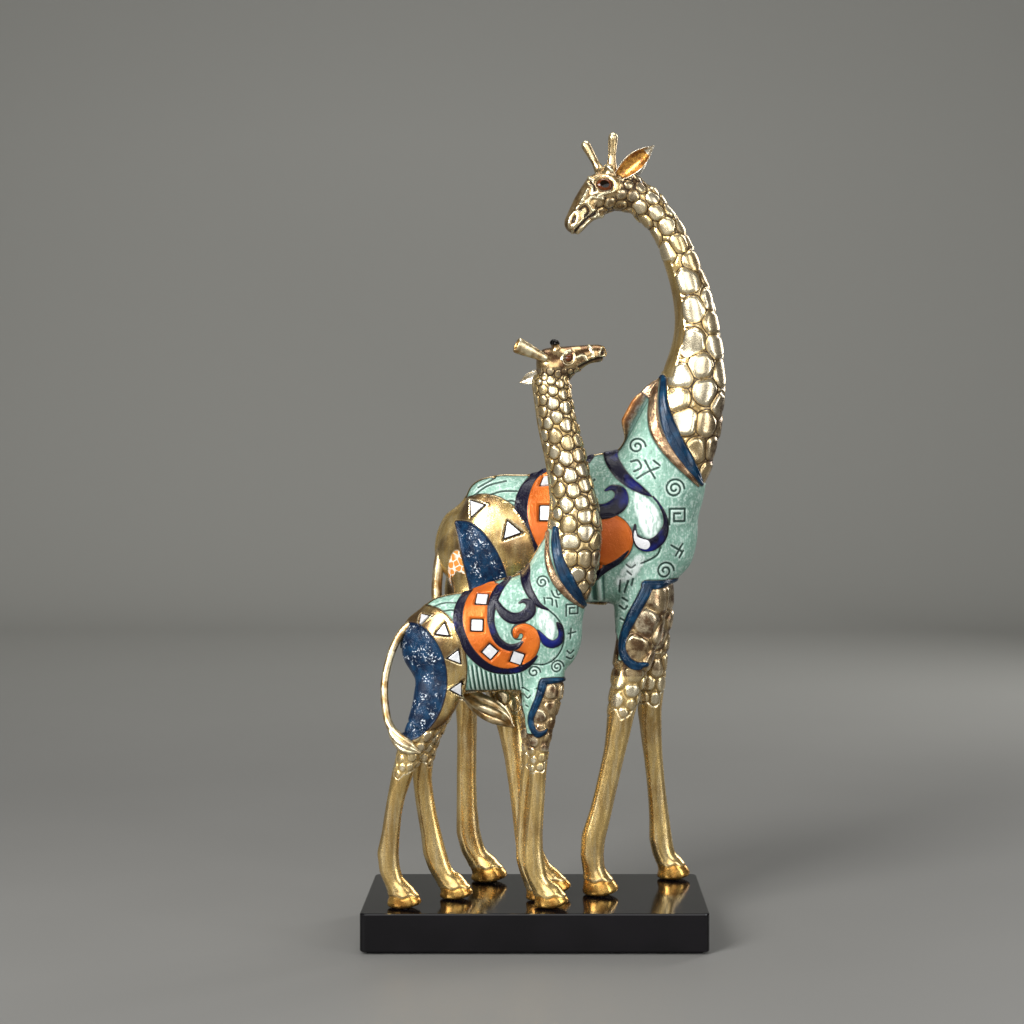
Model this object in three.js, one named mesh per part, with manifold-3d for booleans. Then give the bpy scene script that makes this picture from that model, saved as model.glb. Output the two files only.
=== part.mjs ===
// A mother giraffe and her calf, cast in resin, standing on a gloss plinth.
//
// Millimetres, +Z up. The origin is the middle of the underside of the felt, which is
// what the statue rests on. The animals face +X. Their right flanks face -Y.
// Each animal is cast in pieces: a torso, a neck, a head, two ears, a tail and four legs.
// Flat mirror tiles lie in shallow seats in both flanks.

import * as THREE from "three";
import { mergeVertices } from "three/addons/utils/BufferGeometryUtils.js";
import Module from "manifold-3d";

const wasm = await Module();
wasm.setup();

// ---------------------------------------------------------------- driving dimensions

// Plinth and its felt. The plinth reaches past the outermost hooves by these margins.
const FRONT_MARGIN = 2.4;
const REAR_MARGIN = 11.2;
const RIGHT_MARGIN = 6.8;
const LEFT_MARGIN = 3.1;
const PLINTH_TOP = 20;
const PLINTH_CORNER = 2.2;
const PLINTH_EDGE = 0.7;
const FELT_THICKNESS = 1;
const FELT_INSET = 3;

// Clearance between pieces that touch
const GAP = 0.3;

// Screws that hold each animal to the plinth, from underneath
const SCREW_SHANK = 1.5;
const SCREW_HEAD = 3.4;
const SCREW_HEAD_HEIGHT = 2.2;
const SCREW_BITE = 11;

// Mirror tiles
const TILE_THICKNESS = 1.2;
const TILE_PROUD = 0.35;
const MOTHER_TILE = 7.2;
const CALF_TILE = 5.2;

// Size of each animal over all, and girths, as factors on the section tables below
const MOTHER_SIZE = 1;
const CALF_SIZE = 1;
const MOTHER_TORSO_GIRTH = 1;
const MOTHER_NECK_GIRTH = 1;
const CALF_TORSO_GIRTH = 1;
const CALF_NECK_GIRTH = 1;
const LEG_GIRTH = 1;
const TAIL_GIRTH = 1;

// How far a horn swells at its root and at its knob, as factors on its own radius
const HORN_ROOT = 1.7;
const HORN_KNOB = 1.3;

// How far the calf's flank nests under the mother's: the planes of the two animals are this
// much closer than the sum of their half widths. Where their bodies would then meet, the
// planes part by as many steps as it takes to clear them.
const NESTING = 2;
const SPACING_STEP = 1;

// ---------------------------------------------------------------- materials

function finish(color, roughness, metalness) {
  return new THREE.MeshStandardMaterial({ color, roughness, metalness });
}

const MATERIALS = {
  patina: finish("#91bca8", 0.45, 0.1),
  gold: finish("#c8a550", 0.32, 0.9),
  amber: finish("#c88c32", 0.3, 0.8),
  mirror: finish("#e6e8ec", 0.05, 1),
  lacquer: finish("#0a080c", 0.08, 0),
  felt: finish("#1c1c1e", 0.95, 0),
  steel: finish("#b9bcc0", 0.35, 1),
};

// ---------------------------------------------------------------- solids

// A three.js geometry as a manifold solid.
function solid(geometry) {
  const bare = geometry.clone();
  bare.deleteAttribute("normal");
  bare.deleteAttribute("uv");
  const merged = mergeVertices(bare, 1e-4);
  const index = merged.index.array;
  const kept = [];
  for (let i = 0; i < index.length; i += 3) {
    const [a, b, c] = [index[i], index[i + 1], index[i + 2]];
    if (a !== b && b !== c && c !== a) {
      kept.push(a, b, c);
    }
  }
  return new wasm.Manifold(
    new wasm.Mesh({
      numProp: 3,
      vertProperties: new Float32Array(merged.attributes.position.array),
      triVerts: new Uint32Array(kept),
    })
  );
}

// A manifold solid as a three.js geometry.
function geometryOf(body) {
  const mesh = body.getMesh();
  const geometry = new THREE.BufferGeometry();
  geometry.setAttribute("position", new THREE.BufferAttribute(mesh.vertProperties, 3));
  geometry.setIndex(new THREE.BufferAttribute(mesh.triVerts, 1));
  geometry.computeVertexNormals();
  return geometry;
}

// The largest separate body of a solid, so that a cut leaves no crumbs.
function largest(body) {
  return body.decompose().sort((a, b) => b.volume() - a.volume())[0];
}

// A closed body drawn along a route of elliptical sections. Each station of the route is
// [x, y, z, a, b]: a centre, the half width across the route in the XZ plane, and the half
// width along Y. `grow` swells the whole body. A rounded end closes over `round` rings.
function loft(route, { sides = 14, steps = 16, roundStart = true, roundEnd = true, grow = 0 } = {}) {
  const centres = new THREE.CatmullRomCurve3(
    route.map(([x, y, z]) => new THREE.Vector3(x, y, z)),
    false,
    "centripetal"
  );
  const widths = new THREE.SplineCurve(route.map(([, , , a, b]) => new THREE.Vector2(a, b)));
  const geometry = new THREE.CylinderGeometry(1, 1, 1, sides, steps);
  const position = geometry.attributes.position;
  const endRings = 2;
  const vertex = new THREE.Vector3();
  for (let i = 0; i < position.count; i += 1) {
    vertex.fromBufferAttribute(position, i);
    const ring = Math.round((vertex.y + 0.5) * steps);
    const radius = Math.hypot(vertex.x, vertex.z);
    const [t, shrink, reach] = station(ring, steps, endRings, roundStart, roundEnd);
    const width = widths.getPoint(t);
    const tangent = centres.getTangent(t).normalize();
    const side = new THREE.Vector3(0, 1, 0).addScaledVector(tangent, -tangent.y).normalize();
    const across = new THREE.Vector3().crossVectors(side, tangent);
    const halfAcross = (width.x + grow) * shrink;
    const halfSide = (width.y + grow) * shrink;
    const cos = radius < 1e-6 ? 0 : vertex.z / radius;
    const sin = radius < 1e-6 ? 0 : vertex.x / radius;
    const bulge = reach * (Math.min(width.x, width.y) + grow);
    const point = centres
      .getPoint(t)
      .addScaledVector(tangent, bulge)
      .addScaledVector(across, halfAcross * cos)
      .addScaledVector(side, halfSide * sin);
    position.setXYZ(i, point.x, point.y, point.z);
  }
  return solid(geometry);
}

// Where a ring sits on its route: the place 0..1, its share of the full width, and how far
// it stands beyond the end, in half widths.
function station(ring, steps, endRings, roundStart, roundEnd) {
  const first = roundStart ? endRings : 0;
  const last = roundEnd ? steps - endRings : steps;
  if (ring < first) {
    const angle = ((first - ring) / (endRings + 0.35)) * (Math.PI / 2);
    return [0, Math.cos(angle), -Math.sin(angle) * 0.7];
  }
  if (ring > last) {
    const angle = ((ring - last) / (endRings + 0.35)) * (Math.PI / 2);
    return [1, Math.cos(angle), Math.sin(angle) * 0.7];
  }
  return [(ring - first) / (last - first), 1, 0];
}

// The room that a body takes with its clearance all round. `make` draws it at a given growth.
function roomFor(make) {
  return make(GAP).add(make(0));
}

// Half of all space, as a block: the side of the line A-B (in XZ) that its normal points to,
// pushed along that normal by `shift`.
function halfSpace([ax, az], [bx, bz], shift) {
  const size = 600;
  const block = new THREE.BoxGeometry(size, size, size);
  block.translate(size / 2 + shift, 0, 0);
  block.rotateY(-Math.atan2(bx - ax, az - bz));
  block.translate((ax + bx) / 2, 0, (az + bz) / 2);
  return solid(block);
}

// A section table with its widths multiplied.
function scaled(route, girth) {
  return route.map(([x, y, z, a, b]) => [x, y, z, a * girth, b * girth]);
}

// ---------------------------------------------------------------- sections of the animals

// Stations are [x, offset from the middle plane, height above the plinth, half width in XZ,
// half width along Y]. Tile places are [x, height above the plinth, turn in degrees].

const MOTHER = {
  name: "mother",
  size: MOTHER_SIZE,
  tile: MOTHER_TILE,
  squares: [
    [7, 209.4, 4],
    [6.2, 193, 1],
    [14.5, 172.5, 42],
    [27.5, 165, 20],
  ],
  triangles: [
    [-30.3, 195.8, 200],
    [-12.2, 184.2, -19],
    [-7.5, 160, 22],
    [-22, 146, 30],
  ],
  torsoGirth: MOTHER_TORSO_GIRTH,
  neckGirth: MOTHER_NECK_GIRTH,
  collar: [[65.9, 263.4], [85.8, 206.6]],
  body: [
    [-42, 0, 177, 18, 12],
    [-35, 0, 176, 28.5, 18.5],
    [-20, 0, 177, 34.5, 22],
    [5, 0, 178, 34, 22],
    [30, 0, 183, 38, 22],
    [52, 0, 185, 39, 20.5],
    [67, 0, 182.5, 32, 16.5],
    [76, 0, 182, 22, 11],
  ],
  neck: [
    [54.2, -0.5, 354, 9.4, 9.4],
    [65.9, 0, 341.2, 8.4, 9],
    [74, 0, 323.8, 8.8, 9.6],
    [80.7, 0, 303.9, 10.3, 11],
    [83.3, 0, 284.4, 12.2, 12.5],
    [81.2, 0, 261, 17, 14],
    [75, 0, 239, 21.5, 15.5],
    [67, 0, 218, 24, 17.5],
    [58, 0, 194, 26, 19],
  ],
  head: [
    [50.5, -0.5, 356.6, 10, 9.4],
    [38, -3.5, 358.2, 12, 10.6],
    [29.2, -7, 352, 9.2, 8],
    [23, -10, 344.4, 6.7, 6.3],
    [19.4, -12, 338.8, 5.6, 5.6],
  ],
  ossicones: [
    { from: [38.6, -8.5, 366], to: [39.6, -11, 384.6], radius: 2.3 },
    { from: [34.5, 0.5, 366], to: [25.6, 2.5, 382.6], radius: 2.3 },
  ],
  ears: {
    right: [
      [43.2, -11.5, 364.6, 2, 1.8],
      [48, -14.5, 369, 3.9, 1.7],
      [53.2, -16, 373, 4, 1.6],
      [60, -17, 378.4, 0.9, 0.9],
    ],
    left: [
      [44, 9, 364.6, 2, 1.8],
      [48.6, 12.5, 370.2, 3.7, 1.7],
      [53.6, 15, 374.8, 3.8, 1.6],
      [59.6, 17, 380.2, 0.9, 0.9],
    ],
  },
  legs: {
    front_right: [
      [55, -8.5, 166, 13, 8.5],
      [54, -10, 148, 14.8, 9.2],
      [51.8, -11.2, 128, 11.8, 9],
      [47.6, -12.6, 111, 9.4, 8],
      [44, -13.6, 95, 8, 7.4],
      [40.6, -14.6, 76, 6, 6.1],
      [36.8, -15.4, 59, 5.5, 5.4],
      [32.8, -16, 42, 5.7, 5.6],
      [28.4, -16.5, 25.5, 6.4, 6.2],
      [29.4, -16.5, 13.5, 5.7, 5.8],
      [31.5, -16.5, 7, 7.8, 6.8],
      [33.2, -16.5, 0, 10.6, 7.8],
    ],
    front_left: [
      [60, 9, 166, 11, 8.5],
      [61, 11, 148, 12, 9],
      [61, 12.5, 128, 9.4, 8.6],
      [60.6, 14, 108, 8, 7.8],
      [59.4, 15.5, 86, 6.7, 6.6],
      [61, 17, 67, 5.2, 5.4],
      [62.8, 18.2, 49, 4.9, 5],
      [64.4, 19, 33, 5.4, 5.4],
      [65.6, 19.4, 18.5, 6.3, 6],
      [68.2, 19.5, 11, 5.7, 5.8],
      [71, 19.5, 6.5, 7.6, 6.6],
      [72.4, 19.5, 0, 10.2, 7.4],
    ],
    hind_right: [
      [-24, -8, 176, 16, 9],
      [-26, -9, 158, 17.5, 9],
      [-24.5, -9.6, 138, 15, 8.6],
      [-20.5, -10.6, 118, 11.5, 8.2],
      [-16, -11.8, 100, 9, 7.6],
      [-12.6, -13, 85, 7.4, 6.8],
      [-9.6, -14.2, 66, 5.9, 5.8],
      [-6.8, -15.4, 44, 5.6, 5.5],
      [-3.2, -16.4, 23.5, 6.4, 6],
      [2.2, -16.5, 13, 5.7, 5.6],
      [6.6, -16.5, 7, 8, 6.2],
      [9.6, -16.5, 0, 11, 6.5],
    ],
    hind_left: [
      [-29, 9, 176, 14, 10],
      [-32, 11, 158, 15.5, 10.5],
      [-33.5, 12, 138, 13.5, 10],
      [-35.4, 12.6, 118, 10, 8.6],
      [-36, 13, 100, 7.4, 7.2],
      [-36, 13.4, 84, 5.8, 6],
      [-36.2, 13.5, 64, 5.3, 5.3],
      [-36.2, 13.5, 42, 5.4, 5.3],
      [-34.8, 13.5, 22, 6.5, 6.2],
      [-30.6, 13.5, 12.5, 5.9, 5.9],
      [-26, 13.5, 7, 8.2, 6.8],
      [-24.2, 13.5, 0, 11.2, 7.6],
    ],
  },
  tail: {
    around: "hind_right",
    route: [
      [-33, -1, 196, 2.8, 2.8],
      [-43.5, -1.5, 186.5, 2.9, 2.9],
      [-48.8, -2.5, 170, 2.7, 2.8],
      [-50.6, -4, 150, 2.6, 2.8],
      [-48, -8, 129, 2.6, 2.8],
      [-40, -15, 111, 2.9, 3],
      [-29.5, -22, 98, 4, 3.2],
      [-18, -24.6, 90.5, 5.2, 3],
      [-12, -24.8, 86, 3, 2],
    ],
  },
  screws: ["front_right", "hind_left"],
};

const CALF = {
  name: "calf",
  size: CALF_SIZE,
  tile: CALF_TILE,
  squares: [
    [-26, 151.6, 6],
    [-28.2, 139.2, 1],
    [-21.8, 126.4, 42],
    [-8.6, 123.2, 20],
  ],
  triangles: [
    [-54.8, 142.1, 200],
    [-44.7, 136.4, 8],
    [-38.6, 123.6, 22],
    [-37.8, 107.6, 30],
  ],
  torsoGirth: CALF_TORSO_GIRTH,
  neckGirth: CALF_NECK_GIRTH,
  collar: [[9, 181.5], [23.8, 148]],
  body: [
    [-60.5, 0, 130, 14, 8.5],
    [-54, 0, 129, 21.5, 12.5],
    [-42, 0, 128.5, 24.5, 15],
    [-25, 0, 130, 25.5, 15],
    [-8, 0, 133.5, 29, 15],
    [5, 0, 134, 28, 14],
    [14, 0, 131, 21, 11],
    [18.5, 0, 130, 14, 7],
  ],
  neck: [
    [8.2, -2, 260, 9.4, 8],
    [9.4, -2, 250, 9.4, 8.4],
    [11.4, -2, 238, 9.9, 8.8],
    [14.8, -2, 224.5, 10.2, 9.2],
    [17.8, -2, 209, 10.8, 9.8],
    [20.2, -2, 192.5, 12.9, 11],
    [18.8, -1.5, 177, 15, 12.2],
    [12.5, -1, 161, 17.2, 13.2],
    [5, 0, 145, 19, 14],
  ],
  head: [
    [6.6, -2, 265.4, 10, 8.4],
    [14.4, -2, 268, 8.6, 7.6],
    [21.6, -2, 270.8, 6, 5.6],
    [27.6, -2, 272.4, 4.7, 4.7],
    [32.4, -2, 272.8, 4.4, 4.4],
  ],
  ossicones: [
    { from: [10.6, -5.5, 270], to: [10.4, -6.4, 277.4], radius: 1.6 },
    { from: [9.6, 1.6, 270], to: [9.4, 3, 278.4], radius: 1.6 },
  ],
  ears: {
    right: [
      [5.2, -10.4, 269.6, 1.6, 1.4],
      [1.2, -12.6, 272.2, 2.7, 1.3],
      [-3, -14, 274.4, 2.9, 1.2],
      [-8.6, -15, 275.6, 0.8, 0.8],
    ],
    left: [
      [3, 5.6, 263, 1.6, 1.4],
      [-0.6, 7.6, 261.6, 2.7, 1.3],
      [-3.4, 9, 260.2, 2.9, 1.2],
      [-7.2, 10.6, 258.6, 0.8, 0.8],
    ],
  },
  legs: {
    front_right: [
      [6, -5.5, 122, 10.6, 6.4],
      [4.6, -6.6, 108, 10.8, 6.6],
      [3, -7.2, 95, 9, 6.2],
      [1.9, -7.6, 82, 6.8, 5.6],
      [1.6, -7.8, 69.5, 5.2, 4.8],
      [0.6, -8, 52.5, 4.2, 4.1],
      [-0.9, -8, 35, 4.6, 4.4],
      [-1, -8, 22, 5.6, 5.1],
      [2.2, -8, 12, 5, 4.8],
      [6.4, -8, 6.5, 7.4, 5.6],
      [8.4, -8, 0, 10, 6.2],
    ],
    front_left: [
      [1.5, 5, 122, 9, 5.8],
      [0.6, 5.8, 108, 9, 5.8],
      [-0.6, 6.2, 95, 7.6, 5.4],
      [-1.8, 6.4, 82, 6, 4.9],
      [-3, 6.5, 69.5, 4.9, 4.4],
      [-4.4, 6.5, 52.5, 4.2, 4],
      [-5, 6.5, 35, 4.6, 4.2],
      [-4.6, 6.5, 22, 5.4, 4.8],
      [-2, 6.5, 12, 4.9, 4.4],
      [2, 6.5, 6.5, 7.2, 4.8],
      [3.6, 6.5, 0, 9.4, 5.1],
    ],
    hind_right: [
      [-46, -5.4, 130, 13, 7],
      [-46.5, -6.6, 116, 14, 7.2],
      [-48.5, -7.2, 104, 12.4, 7],
      [-53.4, -7.6, 92, 9.8, 6.6],
      [-60.2, -7.8, 79.5, 7.8, 6],
      [-65, -8, 66, 5.9, 5.1],
      [-68.8, -8, 52.5, 4.5, 4.3],
      [-70.8, -8, 38, 4.5, 4.3],
      [-72.4, -8, 23.5, 5.6, 5.1],
      [-69.4, -8, 13, 4.8, 4.7],
      [-65.6, -8, 7, 7.2, 5.6],
      [-64, -8, 0, 9.8, 6.2],
    ],
    hind_left: [
      [-44, 5, 130, 12, 6.6],
      [-44.5, 6, 116, 12.6, 6.8],
      [-46.5, 6.6, 104, 10.8, 6.6],
      [-50.5, 7.4, 91, 8.6, 6.2],
      [-54.6, 8.2, 77, 6.6, 5.6],
      [-56.6, 9, 63, 5.4, 5],
      [-55.4, 9.8, 49, 4.9, 4.6],
      [-52.8, 10.3, 35, 5.1, 4.8],
      [-50, 10.5, 21, 6, 5.3],
      [-45.6, 10.5, 11.5, 5.2, 5],
      [-41, 10.5, 6.5, 7.4, 5.7],
      [-39.4, 10.5, 0, 9.8, 6.2],
    ],
  },
  tail: {
    around: "hind_right",
    route: [
      [-55, -1, 141, 2.2, 2.2],
      [-63.5, -1.6, 137, 2.2, 2.2],
      [-70, -3.6, 127, 2, 2.1],
      [-74, -6.4, 110, 1.9, 2.1],
      [-72.6, -9.6, 94, 2, 2.2],
      [-67.6, -13.4, 84.5, 2.6, 2.2],
      [-61.4, -16.6, 78.6, 3.2, 2],
      [-55.6, -16.8, 76.4, 2.2, 1.5],
    ],
  },
  screws: ["front_left", "hind_right"],
};

const ANIMALS = [MOTHER, CALF];

// ---------------------------------------------------------------- mirror tiles

function squareShape(size) {
  const half = size / 2;
  const shape = new THREE.Shape();
  shape.moveTo(-half, -half);
  shape.lineTo(half, -half);
  shape.lineTo(half, half);
  shape.lineTo(-half, half);
  shape.closePath();
  return shape;
}

function triangleShape(size) {
  const radius = size * 0.68;
  const shape = new THREE.Shape();
  for (let corner = 0; corner < 3; corner += 1) {
    const angle = Math.PI / 2 + (corner * 2 * Math.PI) / 3;
    const [x, y] = [radius * Math.cos(angle), radius * Math.sin(angle)];
    corner === 0 ? shape.moveTo(x, y) : shape.lineTo(x, y);
  }
  shape.closePath();
  return shape;
}

// A flat plate in the XZ plane, its face towards -Y, `thickness` deep.
function plate(shape, thickness) {
  const geometry = new THREE.ExtrudeGeometry(shape, { depth: thickness, bevelEnabled: false });
  geometry.rotateX(Math.PI / 2);
  return geometry;
}

// The point of a solid that a ray along Y meets first, from side -1 (right) or +1 (left).
function surfaceAt(mesh, x, z, side) {
  const ray = new THREE.Raycaster(new THREE.Vector3(x, side * 300, z), new THREE.Vector3(0, -side, 0));
  const hit = ray.intersectObject(mesh)[0];
  return { point: hit.point, normal: hit.face.normal.clone() };
}

// Every tile of an animal, with its seat: the tile as a geometry, the seat as a solid.
function tilesOf(animal, host) {
  const tiles = [];
  for (const [sideName, side] of [["right", -1], ["left", 1]]) {
    for (const [kind, places, shapeOf] of [
      ["square", animal.squares, squareShape],
      ["triangle", animal.triangles, triangleShape],
    ]) {
      places.forEach(([x, height, turn], number) => {
        const [acrossAt, heightAt] = onPlinth(animal, x, height);
        const { point, normal } = surfaceAt(host, acrossAt, heightAt, side);
        const place = seatMatrix(point, normal, THREE.MathUtils.degToRad(turn), side);
        const tile = plate(shapeOf(animal.tile), TILE_THICKNESS);
        tile.translate(0, TILE_THICKNESS - TILE_PROUD, 0);
        tile.applyMatrix4(place);
        const depth = TILE_THICKNESS + 3;
        const seat = plate(shapeOf(animal.tile + 2 * GAP), depth);
        seat.translate(0, TILE_THICKNESS - TILE_PROUD + GAP, 0);
        seat.applyMatrix4(place);
        tiles.push({ name: `${animal.name}_${kind}_tile_${sideName}_${number + 1}`, tile, seat });
      });
    }
  }
  return tiles;
}

// Turns a plate that faces -Y so that it faces along `normal` at `point`.
function seatMatrix(point, normal, turn, side) {
  const spin = new THREE.Matrix4().makeRotationY(-turn * side);
  const tilt = new THREE.Quaternion().setFromUnitVectors(new THREE.Vector3(0, side, 0), normal);
  const face = new THREE.Matrix4().makeRotationZ(side > 0 ? Math.PI : 0);
  return new THREE.Matrix4()
    .makeTranslation(point.x, point.y, point.z)
    .multiply(new THREE.Matrix4().makeRotationFromQuaternion(tilt))
    .multiply(spin)
    .multiply(face);
}

// ---------------------------------------------------------------- pieces of an animal

const model = new THREE.Group();

function addPiece(name, geometry, material) {
  const mesh = new THREE.Mesh(geometry, material);
  mesh.name = name;
  model.add(mesh);
}

// A point of an animal's middle plane, brought to its size and onto the plinth, as [x, z].
function onPlinth(animal, x, height) {
  return [animal.x + x * animal.size, PLINTH_TOP + height * animal.size];
}

// A section table brought to the animal's size, onto its middle plane and the plinth.
function placed(animal, route) {
  return route.map(([x, y, height, a, b]) => {
    const [placedX, placedZ] = onPlinth(animal, x, height);
    return [placedX, animal.y + y * animal.size, placedZ, a * animal.size, b * animal.size];
  });
}

// The collar line of an animal, in the XZ plane.
function collarOf(animal) {
  return animal.collar.map(([x, height]) => onPlinth(animal, x, height));
}

// Torso: the barrel of the body with the root of the neck, up to the collar.
function torsoOf(animal, grow) {
  const body = loft(scaled(placed(animal, animal.body), animal.torsoGirth), { sides: 24, steps: 17, grow });
  const shoulder = loft(scaled(placed(animal, animal.neck), animal.neckGirth), {
    sides: 18,
    steps: 20,
    grow,
  });
  const above = halfSpace(...collarOf(animal), grow);
  return largest(body.add(shoulder).subtract(above));
}

function neckOf(animal) {
  const full = loft(scaled(placed(animal, animal.neck), animal.neckGirth), { sides: 18, steps: 20 });
  const above = halfSpace(...collarOf(animal), GAP);
  return largest(full.intersect(above).subtract(roomFor((grow) => headOf(animal, grow))));
}

function headOf(animal, grow) {
  let head = loft(placed(animal, animal.head), { sides: 14, steps: 12, grow });
  for (const { from, to, radius } of animal.ossicones) {
    const horn = [[0, HORN_ROOT], [0.4, 1], [1, HORN_KNOB]].map(([along, swell]) => [
      ...from.map((start, axis) => start + (to[axis] - start) * along),
      radius * swell,
      radius * swell,
    ]);
    head = head.add(loft(placed(animal, horn), { sides: 8, steps: 8, grow }));
  }
  return head;
}

// A leg's sections. As the girth grows they move out from the middle plane, so that the two
// legs of a pair stay apart.
function legRoute(animal, leg) {
  const spread = animal.legs[leg].map(([x, y, height, a, b]) => [
    x,
    y + Math.sign(y) * b * (LEG_GIRTH - 1),
    height,
    a * LEG_GIRTH,
    b * LEG_GIRTH,
  ]);
  return placed(animal, spread);
}

function legLoft(animal, leg, grow) {
  return loft(legRoute(animal, leg), { sides: 12, steps: 19, roundEnd: false, grow });
}

function tailLoft(animal) {
  return loft(scaled(placed(animal, animal.tail.route), TAIL_GIRTH), { sides: 8, steps: 24 });
}

// The middle of a hoof's sole.
function soleOf(animal, leg) {
  const [x, y] = legRoute(animal, leg).at(-1);
  return { x, y };
}

// A straight bore along Z.
function bore(x, y, radius, bottom, top) {
  const hole = new THREE.CylinderGeometry(radius, radius, top - bottom, 12);
  hole.rotateX(Math.PI / 2);
  hole.translate(x, y, (top + bottom) / 2);
  return solid(hole);
}

function addAnimal(animal) {
  const torsoSolid = torsoOf(animal, 0);
  const torsoRoom = roomFor((grow) => torsoOf(animal, grow));
  const legNames = Object.keys(animal.legs);
  const flesh = legNames.reduce((sum, leg) => sum.add(legLoft(animal, leg, 0)), torsoSolid);
  const host = new THREE.Mesh(geometryOf(flesh));
  const tiles = tilesOf(animal, host);
  let torso = torsoSolid;
  for (const { seat } of tiles) {
    torso = torso.subtract(solid(seat));
  }
  addPiece(`${animal.name}_torso`, geometryOf(largest(torso)), MATERIALS.patina);
  addPiece(`${animal.name}_neck`, geometryOf(neckOf(animal)), MATERIALS.gold);
  addPiece(`${animal.name}_head`, geometryOf(headOf(animal, 0)), MATERIALS.gold);

  const headRoom = roomFor((grow) => headOf(animal, grow));
  for (const [sideName, route] of Object.entries(animal.ears)) {
    const ear = loft(placed(animal, route), { sides: 8, steps: 8 });
    addPiece(`${animal.name}_ear_${sideName}`, geometryOf(largest(ear.subtract(headRoom))), MATERIALS.amber);
  }

  const floor = halfSpace([1, PLINTH_TOP + GAP], [0, PLINTH_TOP + GAP], 0);
  for (const leg of legNames) {
    let limb = legLoft(animal, leg, 0).subtract(torsoRoom).subtract(floor);
    for (const { seat } of tiles) {
      limb = limb.subtract(solid(seat));
    }
    if (animal.screws.includes(leg)) {
      const { x, y } = soleOf(animal, leg);
      limb = limb.subtract(bore(x, y, SCREW_SHANK + GAP, 0, PLINTH_TOP + SCREW_BITE + GAP));
    }
    addPiece(`${animal.name}_leg_${leg}`, geometryOf(largest(limb)), MATERIALS.gold);
  }

  const hockRoom = roomFor((grow) => legLoft(animal, animal.tail.around, grow));
  const freeTail = largest(tailLoft(animal).subtract(torsoRoom).subtract(hockRoom));
  addPiece(`${animal.name}_tail`, geometryOf(freeTail), MATERIALS.gold);

  for (const { name, tile } of tiles) {
    addPiece(name, geometryOf(solid(tile)), MATERIALS.mirror);
  }
}

// ---------------------------------------------------------------- places of the animals

// The half width of an animal's barrel.
function flankOf(animal) {
  return Math.max(...animal.body.map(([, , , , b]) => b)) * animal.size * animal.torsoGirth;
}

// A whole animal in one solid.
function bodyOf(animal) {
  const legs = Object.keys(animal.legs).map((leg) => legLoft(animal, leg, 0));
  return [...legs, tailLoft(animal)].reduce((sum, piece) => sum.add(piece), torsoOf(animal, 0));
}

// The room that the hooves of both animals take on the plinth.
function footprint() {
  const soles = ANIMALS.flatMap((animal) =>
    Object.keys(animal.legs).map((leg) => legRoute(animal, leg).at(-1))
  );
  return {
    rear: Math.min(...soles.map(([x, , , a]) => x - a)),
    front: Math.max(...soles.map(([x, , , a]) => x + a)),
    right: Math.min(...soles.map(([, y, , , b]) => y - b)),
    left: Math.max(...soles.map(([, y, , , b]) => y + b)),
  };
}

for (const animal of ANIMALS) {
  animal.x = 0;
  animal.y = 0;
}
const motherBody = bodyOf(MOTHER);
CALF.y = NESTING - flankOf(MOTHER) - flankOf(CALF);
while (!motherBody.intersect(bodyOf(CALF)).isEmpty()) {
  CALF.y -= SPACING_STEP;
}

const feet = footprint();
const PLINTH_LENGTH = feet.front + FRONT_MARGIN - (feet.rear - REAR_MARGIN);
const PLINTH_DEPTH = feet.left + LEFT_MARGIN - (feet.right - RIGHT_MARGIN);
const middleX = (feet.front + FRONT_MARGIN + feet.rear - REAR_MARGIN) / 2;
const middleY = (feet.left + LEFT_MARGIN + feet.right - RIGHT_MARGIN) / 2;

// The plinth is centred on the origin, and the animals move with it.
for (const animal of ANIMALS) {
  animal.x -= middleX;
  animal.y -= middleY;
}

// ---------------------------------------------------------------- plinth, felt and screws

function roundedRectangle(length, depth, corner) {
  const [hx, hy] = [length / 2, depth / 2];
  const shape = new THREE.Shape();
  shape.moveTo(-hx + corner, -hy);
  shape.lineTo(hx - corner, -hy);
  shape.absarc(hx - corner, -hy + corner, corner, -Math.PI / 2, 0, false);
  shape.lineTo(hx, hy - corner);
  shape.absarc(hx - corner, hy - corner, corner, 0, Math.PI / 2, false);
  shape.lineTo(-hx + corner, hy);
  shape.absarc(-hx + corner, hy - corner, corner, Math.PI / 2, Math.PI, false);
  shape.lineTo(-hx, -hy + corner);
  shape.absarc(-hx + corner, -hy + corner, corner, Math.PI, 1.5 * Math.PI, false);
  return shape;
}

// Height of the plinth's underside, where the screw heads are sunk in.
const SCREW_SEAT = FELT_THICKNESS + GAP;

function screwSpots() {
  return ANIMALS.flatMap((animal) =>
    animal.screws.map((leg) => ({ name: `${animal.name}_screw_${leg}`, ...soleOf(animal, leg) }))
  );
}

function plinthGeometry() {
  const slab = new THREE.ExtrudeGeometry(
    roundedRectangle(PLINTH_LENGTH - 2 * PLINTH_EDGE, PLINTH_DEPTH - 2 * PLINTH_EDGE, PLINTH_CORNER),
    {
      depth: PLINTH_TOP - SCREW_SEAT - 2 * PLINTH_EDGE,
      bevelThickness: PLINTH_EDGE,
      bevelSize: PLINTH_EDGE,
      bevelSegments: 2,
      curveSegments: 3,
    }
  );
  slab.translate(0, 0, SCREW_SEAT + PLINTH_EDGE);
  let plinth = solid(slab);
  for (const { x, y } of screwSpots()) {
    plinth = plinth.subtract(bore(x, y, SCREW_SHANK + GAP, 0, PLINTH_TOP + 5));
    plinth = plinth.subtract(bore(x, y, SCREW_HEAD + GAP, 0, SCREW_SEAT + SCREW_HEAD_HEIGHT + GAP));
  }
  return geometryOf(plinth);
}

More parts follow.
